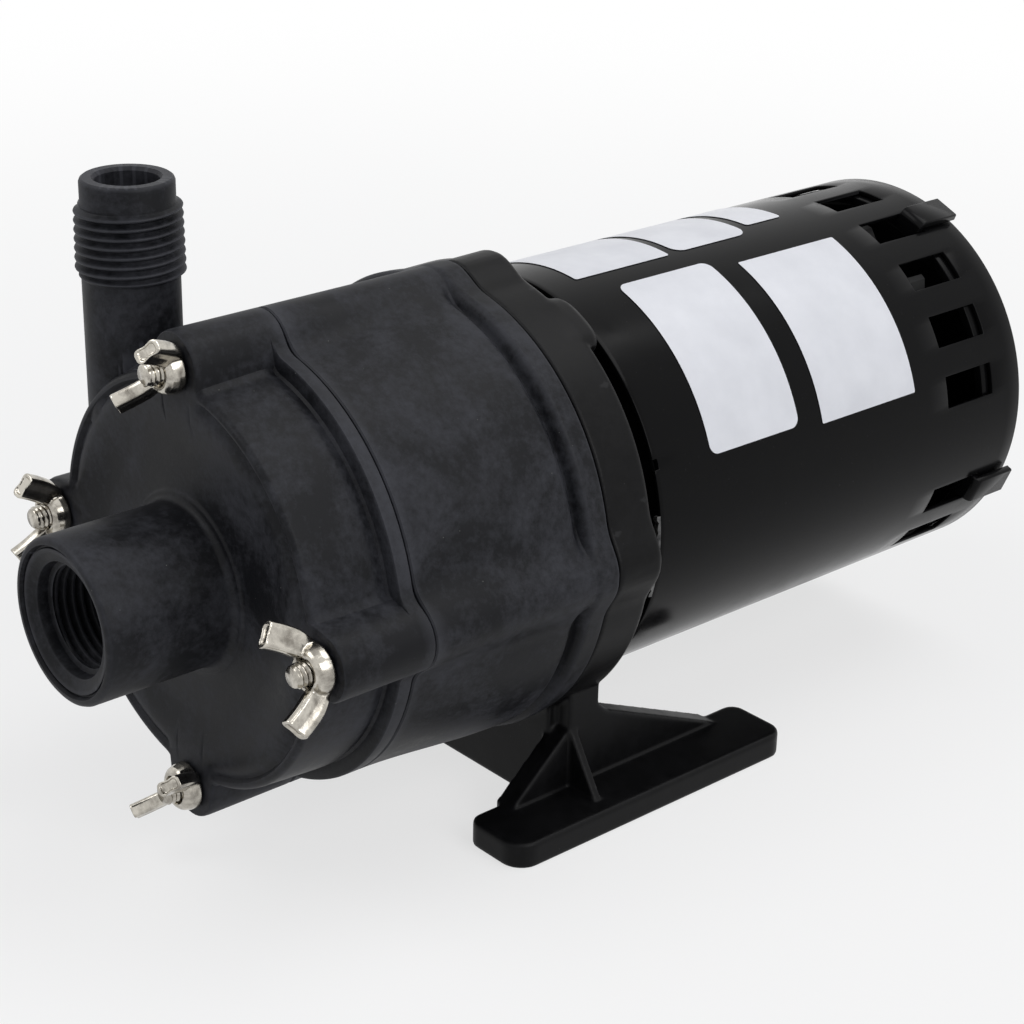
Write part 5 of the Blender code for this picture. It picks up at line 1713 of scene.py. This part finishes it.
@dataclass
class EndBells:
    """Front and rear end bells of the motor, with the rear one's bent ears."""

    bell_r: float = 0.04237
    rim_wall: float = 0.0020
    housing_r: float = 0.0140
    pocket_r: float = 0.0113
    neck_r: float = 0.0388
    shaft_hole_r: float = 0.0052
    shell_r: float = 0.04367
    ear_width: float = 0.0064
    ear_plate: float = 0.0017
    window_back: float = 0.1199
    slot_count: int = 8
    vent_floor: float = 0.0007
    disc: float = 0.0030
    disc_inset: float = 0.0028
    boss_r: float = 0.0046
    screw_hole_r: float = 0.0025
    edge_rounding: float = 0.00022
    bare_from: float = -16.5
    bare_arc: float = 24.0
    bare_width: float = 0.0008

    def ear(self, angle: float, leg_back: float, end: float) -> Solid:
        """Bend one ear out through a window and back over the shell to its edge.

        Args:
            angle: Angle of the ear.
            leg_back: Place of the leg's rear face.
            end: Place of the plate's end.

        Returns:
            The ear.
        """
        inner = self.shell_r + 0.0003
        outer = inner + self.ear_plate
        leg_front = leg_back - self.ear_plate
        bend = [(outer - self.ear_plate * (1.0 - math.cos(math.radians(turn))),
                 leg_front + self.ear_plate * (1.0 - math.sin(math.radians(turn))))
                for turn in (90.0, 67.5, 45.0, 22.5, 0.0)]
        outline = [(self.bell_r - 0.0012, leg_front), *bend, (outer, end - 0.0003),
                   (outer - 0.0003, end), (inner, end), (inner, leg_back),
                   (self.bell_r - 0.0012, leg_back)]
        rings = [[Vector((radius, y, side * 0.5 * self.ear_width)) for radius, y in outline]
                 for side in (-1.0, 1.0)]
        return Solid.loft(rings).moved(about_shaft(angle))

    def front(self) -> None:
        """Build the front end bell: drawn cup, bearing housing and screw bosses."""
        low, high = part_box("front_end_bell")
        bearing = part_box("front_bearing")
        shell_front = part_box("motor_shell")[0].y
        disc_back = bearing[1].y
        disc_front = disc_back - self.disc
        pocket = bearing[0].y - 0.0003
        rim_inner = self.bell_r - self.rim_wall
        lathe = Lathe(144).to((self.shaft_hole_r, low.y), (self.housing_r - 0.0006, low.y),
                              (self.housing_r, low.y + 0.0006), (self.housing_r, disc_front))
        lathe.to((self.neck_r - 0.0012, disc_front), (self.neck_r - 0.0003, disc_front + 0.0003),
                 (self.neck_r, disc_front + 0.0012), (self.neck_r, shell_front + 0.0002),
                 (self.neck_r + 0.0006, shell_front + 0.0008), (self.bell_r, shell_front + 0.0010),
                 (self.bell_r, high.y), (rim_inner, high.y), (rim_inner, shell_front + 0.0030),
                 (self.neck_r - 0.0020, shell_front + 0.0020), (self.neck_r - 0.0020, disc_back),
                 (self.pocket_r, disc_back), (self.pocket_r, pocket), (self.shaft_hole_r, pocket))
        bosses, holes = [], []
        for index in range(1, 5):
            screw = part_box(f"motor_screw_{index}")
            middle = 0.5 * (screw[0] + screw[1]) - SHAFT_LINE
            place = Matrix.Translation((middle.x, 0.0, middle.z))
            bosses.append(plug(self.boss_r, disc_back - 0.001,
                               screw[1].y + 0.0027).moved(place))
            holes.append(plug(self.screw_hole_r, low.y, screw[1].y + 0.0003).moved(place))
        solid = lathe.solid(closed=True).union(*bosses).minus(*holes)
        show(Place("stamped_front_bell", Body.PUMP, Slot.PAINT, ("front_end_bell",)), solid,
             BLACK_ENAMEL, sharp=50.0)

    def rear(self) -> None:
        """Build the rear end bell: disc with blind vent slots, bearing housing, rim and four ears.
        """
        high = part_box("rear_end_bell")[1]
        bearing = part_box("rear_bearing")
        shell_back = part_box("motor_shell")[1].y
        disc_back = shell_back - self.disc_inset
        disc_front = disc_back - self.disc
        rim_inner = self.bell_r - self.rim_wall
        floor = bearing[1].y + 0.0003
        housing_back = floor + 0.0016
        lathe = Lathe(144)
        lathe.to((self.shaft_hole_r, floor), (self.pocket_r, floor),
                 (self.pocket_r, bearing[0].y),
                 (self.housing_r, bearing[0].y), (self.housing_r, disc_front),
                 (rim_inner - 0.002, disc_front), (rim_inner, disc_front - 0.002),
                 (rim_inner, self.window_back - 0.0020), (self.bell_r, self.window_back - 0.0020))
        lathe.arc((self.bell_r - 0.0022, disc_back - 0.0022), 0.0022, 0.0, 90.0, 6)
        sunk = disc_back - 0.0004
        lathe.to((self.housing_r + 0.0075, disc_back), (self.housing_r + 0.0060, sunk),
                 (self.housing_r + 0.0015, sunk), (self.housing_r + 0.0004, disc_back),
                 (self.housing_r - 0.0002, housing_back - 0.0010),
                 (self.housing_r - 0.0010, housing_back),
                 (self.shaft_hole_r + 0.0003, housing_back),
                 (self.shaft_hole_r, housing_back - 0.0003))
        bell = lathe.solid(closed=True)
        inner, outer, half = self.housing_r + 0.0095, rim_inner - 0.0045, 0.0025
        slots = []
        for index in range(self.slot_count):
            outline = [(inner - half * math.sin(math.radians(turn)),
                        -half * math.cos(math.radians(turn))) for turn in range(180, -1, -20)]
            outline += [(outer + half * math.sin(math.radians(turn)),
                         -half * math.cos(math.radians(turn))) for turn in range(0, 181, 20)]
            slot = Solid.prism(outline, "Y", disc_front + self.vent_floor, disc_back + 0.001)
            slots.append(slot.moved(about_shaft(360.0 * (index + 0.5) / self.slot_count)))
        ears = [self.ear(67.5 + 90.0 * index, self.window_back - 0.0003, high.y)
                for index in range(4)]
        solid = bell.minus(*slots).union(*ears).bevelled(self.edge_rounding, 50.0)
        show(Place("stamped_rear_bell", Body.PUMP, Slot.PAINT, ("rear_end_bell",)), solid,
             BLACK_ENAMEL, sharp=50.0)

    def bare_edge(self) -> None:
        """Build the ragged strip of bare steel at the shell's front edge."""
        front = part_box("motor_shell")[0].y
        rings = []
        steps = 26
        for index in range(steps + 1):
            angle = self.bare_from + self.bare_arc * index / steps
            ragged = 0.00020 * math.sin(2.3 * index) + 0.00012 * math.sin(5.1 * index + 1.0)
            width = self.bare_width + ragged
            inner, outer = self.shell_r - 0.0009, self.shell_r + 0.0002
            rings.append([polar(inner, angle, front - 0.0002), polar(outer, angle, front - 0.0002),
                          polar(outer - 0.0002, angle, front - width),
                          polar(inner - 0.0002, angle, front - width)])
        show(Place("bare_steel_edge", Body.PUMP, Slot.STEEL), Solid.loft(rings), WORN_STEEL,
             sharp=40.0)

    def build(self) -> None:
        """Build both bells and the bare edge at the shell's front."""
        self.front()
        self.rear()
        self.bare_edge()


@dataclass
class CoolingFan:
    """Moulded radial fan: a front plate, a hub that widens into it, and curved blades."""

    bore_r: float = 0.0043
    hub_r: float = 0.0110
    cone_r: float = 0.0300
    plate: float = 0.0018
    blade_count: int = 13
    blade_thickness: float = 0.0013
    lean: float = 24.0

    def blade(self, radius: float, front: float, back: float) -> Solid:
        """Make one blade that leans back as it nears the fan's edge.

        Args:
            radius: Radius of the blade's tip.
            front: Where the blade starts.
            back: Where it ends.

        Returns:
            The blade.
        """
        root = self.hub_r - 0.0010
        sides = {-1.0: [], 1.0: []}
        for step in range(13):
            share = step / 12.0
            reach = root + (radius - root) * share
            turn = math.radians(self.lean * share ** 2)
            for side, points in sides.items():
                offset = side * 0.5 * self.blade_thickness
                points.append((reach * math.cos(turn) - offset * math.sin(turn),
                               reach * math.sin(turn) + offset * math.cos(turn)))
        return Solid.prism(sides[-1.0] + sides[1.0][::-1], "Y", front, back)

    def build(self) -> None:
        """Turn the plate and hub, join the blades and put the fan on the rotor."""
        low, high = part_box("cooling_fan")
        radius = high.x - SHAFT_LINE.x
        floor = low.y + self.plate
        body = Lathe(96).to((self.bore_r, low.y), (radius - 0.0003, low.y),
                            (radius, low.y + 0.0003), (radius, floor), (self.cone_r, floor),
                            (self.cone_r - 0.0080, floor + 0.0022),
                            (self.hub_r + 0.0050, floor + 0.0058),
                            (self.hub_r + 0.0015, floor + 0.0098), (self.hub_r, high.y - 0.0004),
                            (self.hub_r - 0.0004, high.y), (self.bore_r, high.y))
        blades = [self.blade(radius - 0.0004, floor - 0.0005, high.y - 0.0003).moved(
                  about_shaft(360.0 * index / self.blade_count))
                  for index in range(self.blade_count)]
        solid = body.solid(closed=True).union(*blades)
        show(Place("moulded_fan", Body.MOTOR_ROTOR, Slot.BASE, ("cooling_fan",)), solid,
             FAN_PLASTIC)


@dataclass
class KeptNodes:
    """Nodes of the frame whose shape stays, with the finish that each one gets."""

    def finishes(self) -> dict[str, Finish]:
        """Name the finish of each kept node.

        Returns:
            Finishes by node.
        """
        chosen: dict[str, Finish] = {
            "rear_housing": WET_PLASTIC, "impeller": WET_PLASTIC, "magnet_jacket": WET_PLASTIC,
            "housing_seal": SEAL_RUBBER, "spindle": ALUMINA, "front_thrust_washer": ALUMINA,
            "rear_thrust_washer": ALUMINA, "driven_magnet": FERRITE, "drive_magnet": FERRITE,
            "drive_magnet_cup": STEEL, "cup_set_screw": STEEL,
            "front_bearing": STEEL, "rear_bearing": STEEL, "motor_shaft": STEEL,
            "fan_clip": STEEL, "stator_core": LAMINATED, "rotor_core": LAMINATED,
            "front_winding": COPPER, "rear_winding": COPPER}
        chosen.update({f"motor_screw_{index}": STEEL for index in range(1, 5)})
        return chosen

    def build(self) -> None:
        """Give each kept node its finish."""
        for name, finish in self.finishes().items():
            node = frame["nodes"][name]
            node.data.materials.clear()
            node.data.materials.append(finish.material())
            LOG.info("%s: kept, finished as %s", name, finish.name)


# Studio


@dataclass(frozen=True)
class SoftBox:
    """Square lamp with soft edges."""

    name: str
    place: tuple[float, float, float]
    size: float
    power: float

    def build(self, aim: Vector) -> None:
        """Hang the lamp and aim it.

        Args:
            aim: Point that the lamp looks at.
        """
        data = bpy.data.lights.new(self.name, "AREA")
        data.size = self.size
        data.energy = self.power
        lamp = bpy.data.objects.new(self.name, data)
        bpy.context.scene.collection.objects.link(lamp)
        lamp.location = self.place
        lamp.rotation_euler = (Vector(self.place) - aim).to_track_quat("Z", "Y").to_euler()


@dataclass
class Studio:
    """Pale floor, white surroundings, lamps and camera."""

    azimuth: float = 48.29
    elevation: float = 23.92
    roll: float = 1.23
    distance: float = 0.5045
    aim: tuple[float, float, float] = (-0.0003, 0.0150, 0.0516)
    lens: float = 83.47
    sensor: float = 36.0
    lamps: tuple[SoftBox, ...] = (SoftBox("key_light", (-0.5, -0.9, 1.3), 0.9, 6.8),
                                  SoftBox("side_light", (1.3, 0.1, 0.9), 0.8, 7.5),
                                  SoftBox("top_light", (0.3, 0.6, 1.6), 1.0, 9.0))
    world_level: float = 0.33
    sky_colour: tuple[float, float, float] = (0.93, 0.95, 1.0)
    floor_colour: tuple[float, float, float] = (0.80, 0.80, 0.80)
    floor_size: float = 30.0
    floor_glow: float = 0.68
    shadow_r: float = 0.14
    white_r: float = 0.75

    def camera(self) -> None:
        """Place the camera at the photograph's viewing angle."""
        turn, lift, roll = (math.radians(value)
                            for value in (self.azimuth, self.elevation, self.roll))
        forward = Vector((-math.sin(turn) * math.cos(lift), math.cos(turn) * math.cos(lift),
                          -math.sin(lift)))
        right = Vector((math.cos(turn), math.sin(turn), 0.0))
        above = right.cross(forward)
        across = right * math.cos(roll) + above * math.sin(roll)
        upward = above * math.cos(roll) - right * math.sin(roll)
        data = bpy.data.cameras.new("camera")
        data.lens = self.lens
        data.sensor_width = self.sensor
        data.clip_start = 0.01
        data.clip_end = 100.0
        camera = bpy.data.objects.new("camera", data)
        bpy.context.scene.collection.objects.link(camera)
        matrix = Matrix((across, upward, -forward)).transposed().to_4x4()
        matrix.translation = Vector(self.aim) - forward * self.distance
        camera.matrix_world = matrix
        bpy.context.scene.camera = camera

    @staticmethod
    def seen(nodes: bpy.types.Nodes, links: bpy.types.NodeLinks) -> bpy.types.NodeSocket:
        """Pick out the rays that show the surroundings: seen, mirrored or passed through.

        Args:
            nodes: Nodes of the material or world.
            links: Their links.

        Returns:
            1 for such a ray, otherwise 0.
        """
        path = nodes.new("ShaderNodeLightPath")
        found = path.outputs["Is Camera Ray"]
        for name in ("Is Glossy Ray", "Is Transmission Ray"):
            either = nodes.new("ShaderNodeMath")
            either.operation = "MAXIMUM"
            links.new(found, either.inputs[0])
            links.new(path.outputs[name], either.inputs[1])
            found = either.outputs["Value"]
        return found

    @staticmethod
    def mixed(nodes: bpy.types.Nodes, links: bpy.types.NodeLinks,
              sources: Sequence[bpy.types.NodeSocket], output: str) -> None:
        """Mix two shaders into the output.

        Args:
            nodes: Nodes of the material or world.
            links: Their links.
            sources: Share of the second shader, first shader and second shader.
            output: Name of the output node.
        """
        mix = nodes.new("ShaderNodeMixShader")
        for source, socket in zip(sources, mix.inputs):
            links.new(source, socket)
        links.new(mix.outputs["Shader"], nodes[output].inputs["Surface"])

    def floor(self) -> None:
        """Lay the pale floor, which keeps the pump's shadow and fades to white far away."""
        bm = bmesh.new()
        bmesh.ops.create_grid(bm, x_segments=8, y_segments=8, size=0.5 * self.floor_size)
        mesh = bpy.data.meshes.new("floor")
        bm.to_mesh(mesh)
        bm.free()
        graph = Graph("floor_paper")
        graph.set(Base_Color=(*self.floor_colour, 1.0), Roughness=0.9, Specular_IOR_Level=0.0)
        away = graph.nodes.new("ShaderNodeVectorMath")
        away.operation = "LENGTH"
        graph.links.new(graph.place, away.inputs[0])
        fade = graph.remap(away.outputs["Value"], self.shadow_r, self.white_r,
                           self.floor_glow, 1.0)
        fade.node.interpolation_type = "SMOOTHSTEP"
        share = graph.maths("MULTIPLY", self.seen(graph.nodes, graph.links), fade)
        glow = graph.nodes.new("ShaderNodeEmission")
        self.mixed(graph.nodes, graph.links,
                   (share, graph.shader.outputs["BSDF"], glow.outputs["Emission"]),
                   "Material Output")
        mesh.materials.append(graph.material)
        link("floor", mesh)

    def world(self) -> None:
        """Surround the pump with soft light that shows white to the camera."""
        world = bpy.data.worlds.new("studio")
        bpy.context.scene.world = world
        world.use_nodes = True
        nodes, links = world.node_tree.nodes, world.node_tree.links
        light = nodes["Background"]
        light.inputs["Color"].default_value = (*self.sky_colour, 1.0)
        light.inputs["Strength"].default_value = self.world_level
        white = nodes.new("ShaderNodeBackground")
        white.inputs["Color"].default_value = (1.0, 1.0, 1.0, 1.0)
        self.mixed(nodes, links, (self.seen(nodes, links), light.outputs["Background"],
                                  white.outputs["Background"]), "World Output")

    def build(self) -> None:
        """Build floor, surroundings, lamps and camera."""
        self.floor()
        self.world()
        for lamp in self.lamps:
            lamp.build(Vector(self.aim))
        self.camera()
        bpy.context.scene.view_settings.view_transform = "Standard"


NUTS = (WingNut("top", Body.NUT_TOP, 50.0), WingNut("right", Body.NUT_RIGHT, 118.0),
        WingNut("bottom", Body.NUT_BOTTOM, 42.0), WingNut("left", Body.NUT_LEFT, 78.0))
LABELS = (Label("front_side_label", 0.0310, 0.0570, 18.6, 73.7, 0.0022),
          Label("rear_side_label", 0.0640, 0.0937, 17.0, 70.0, 0.0004),
          Label("front_top_label", 0.0247, 0.0515, 81.0, 140.0, 0.0006),
          Label("middle_top_label", 0.0540, 0.0760, 81.5, 124.0, 0.0030),
          Label("rear_top_label", 0.0790, 0.0900, 86.0, 124.0, 0.0010))


def main() -> None:
    """Build the pump's looks and its studio."""
    logging.basicConfig(level=logging.INFO, format="%(name)s: %(message)s")
    bolts = [CaseBolt(corner) for corner in BOLT_ANGLES]
    for part in (VoluteHousing(), MotorBracket(), MountingBase(), MotorShell(), EndBells(),
                 CoolingFan(), *bolts, *NUTS, *LABELS):
        part.build()
    KeptNodes().build()
    Studio().build()


if __name__ == "__main__":
    main()
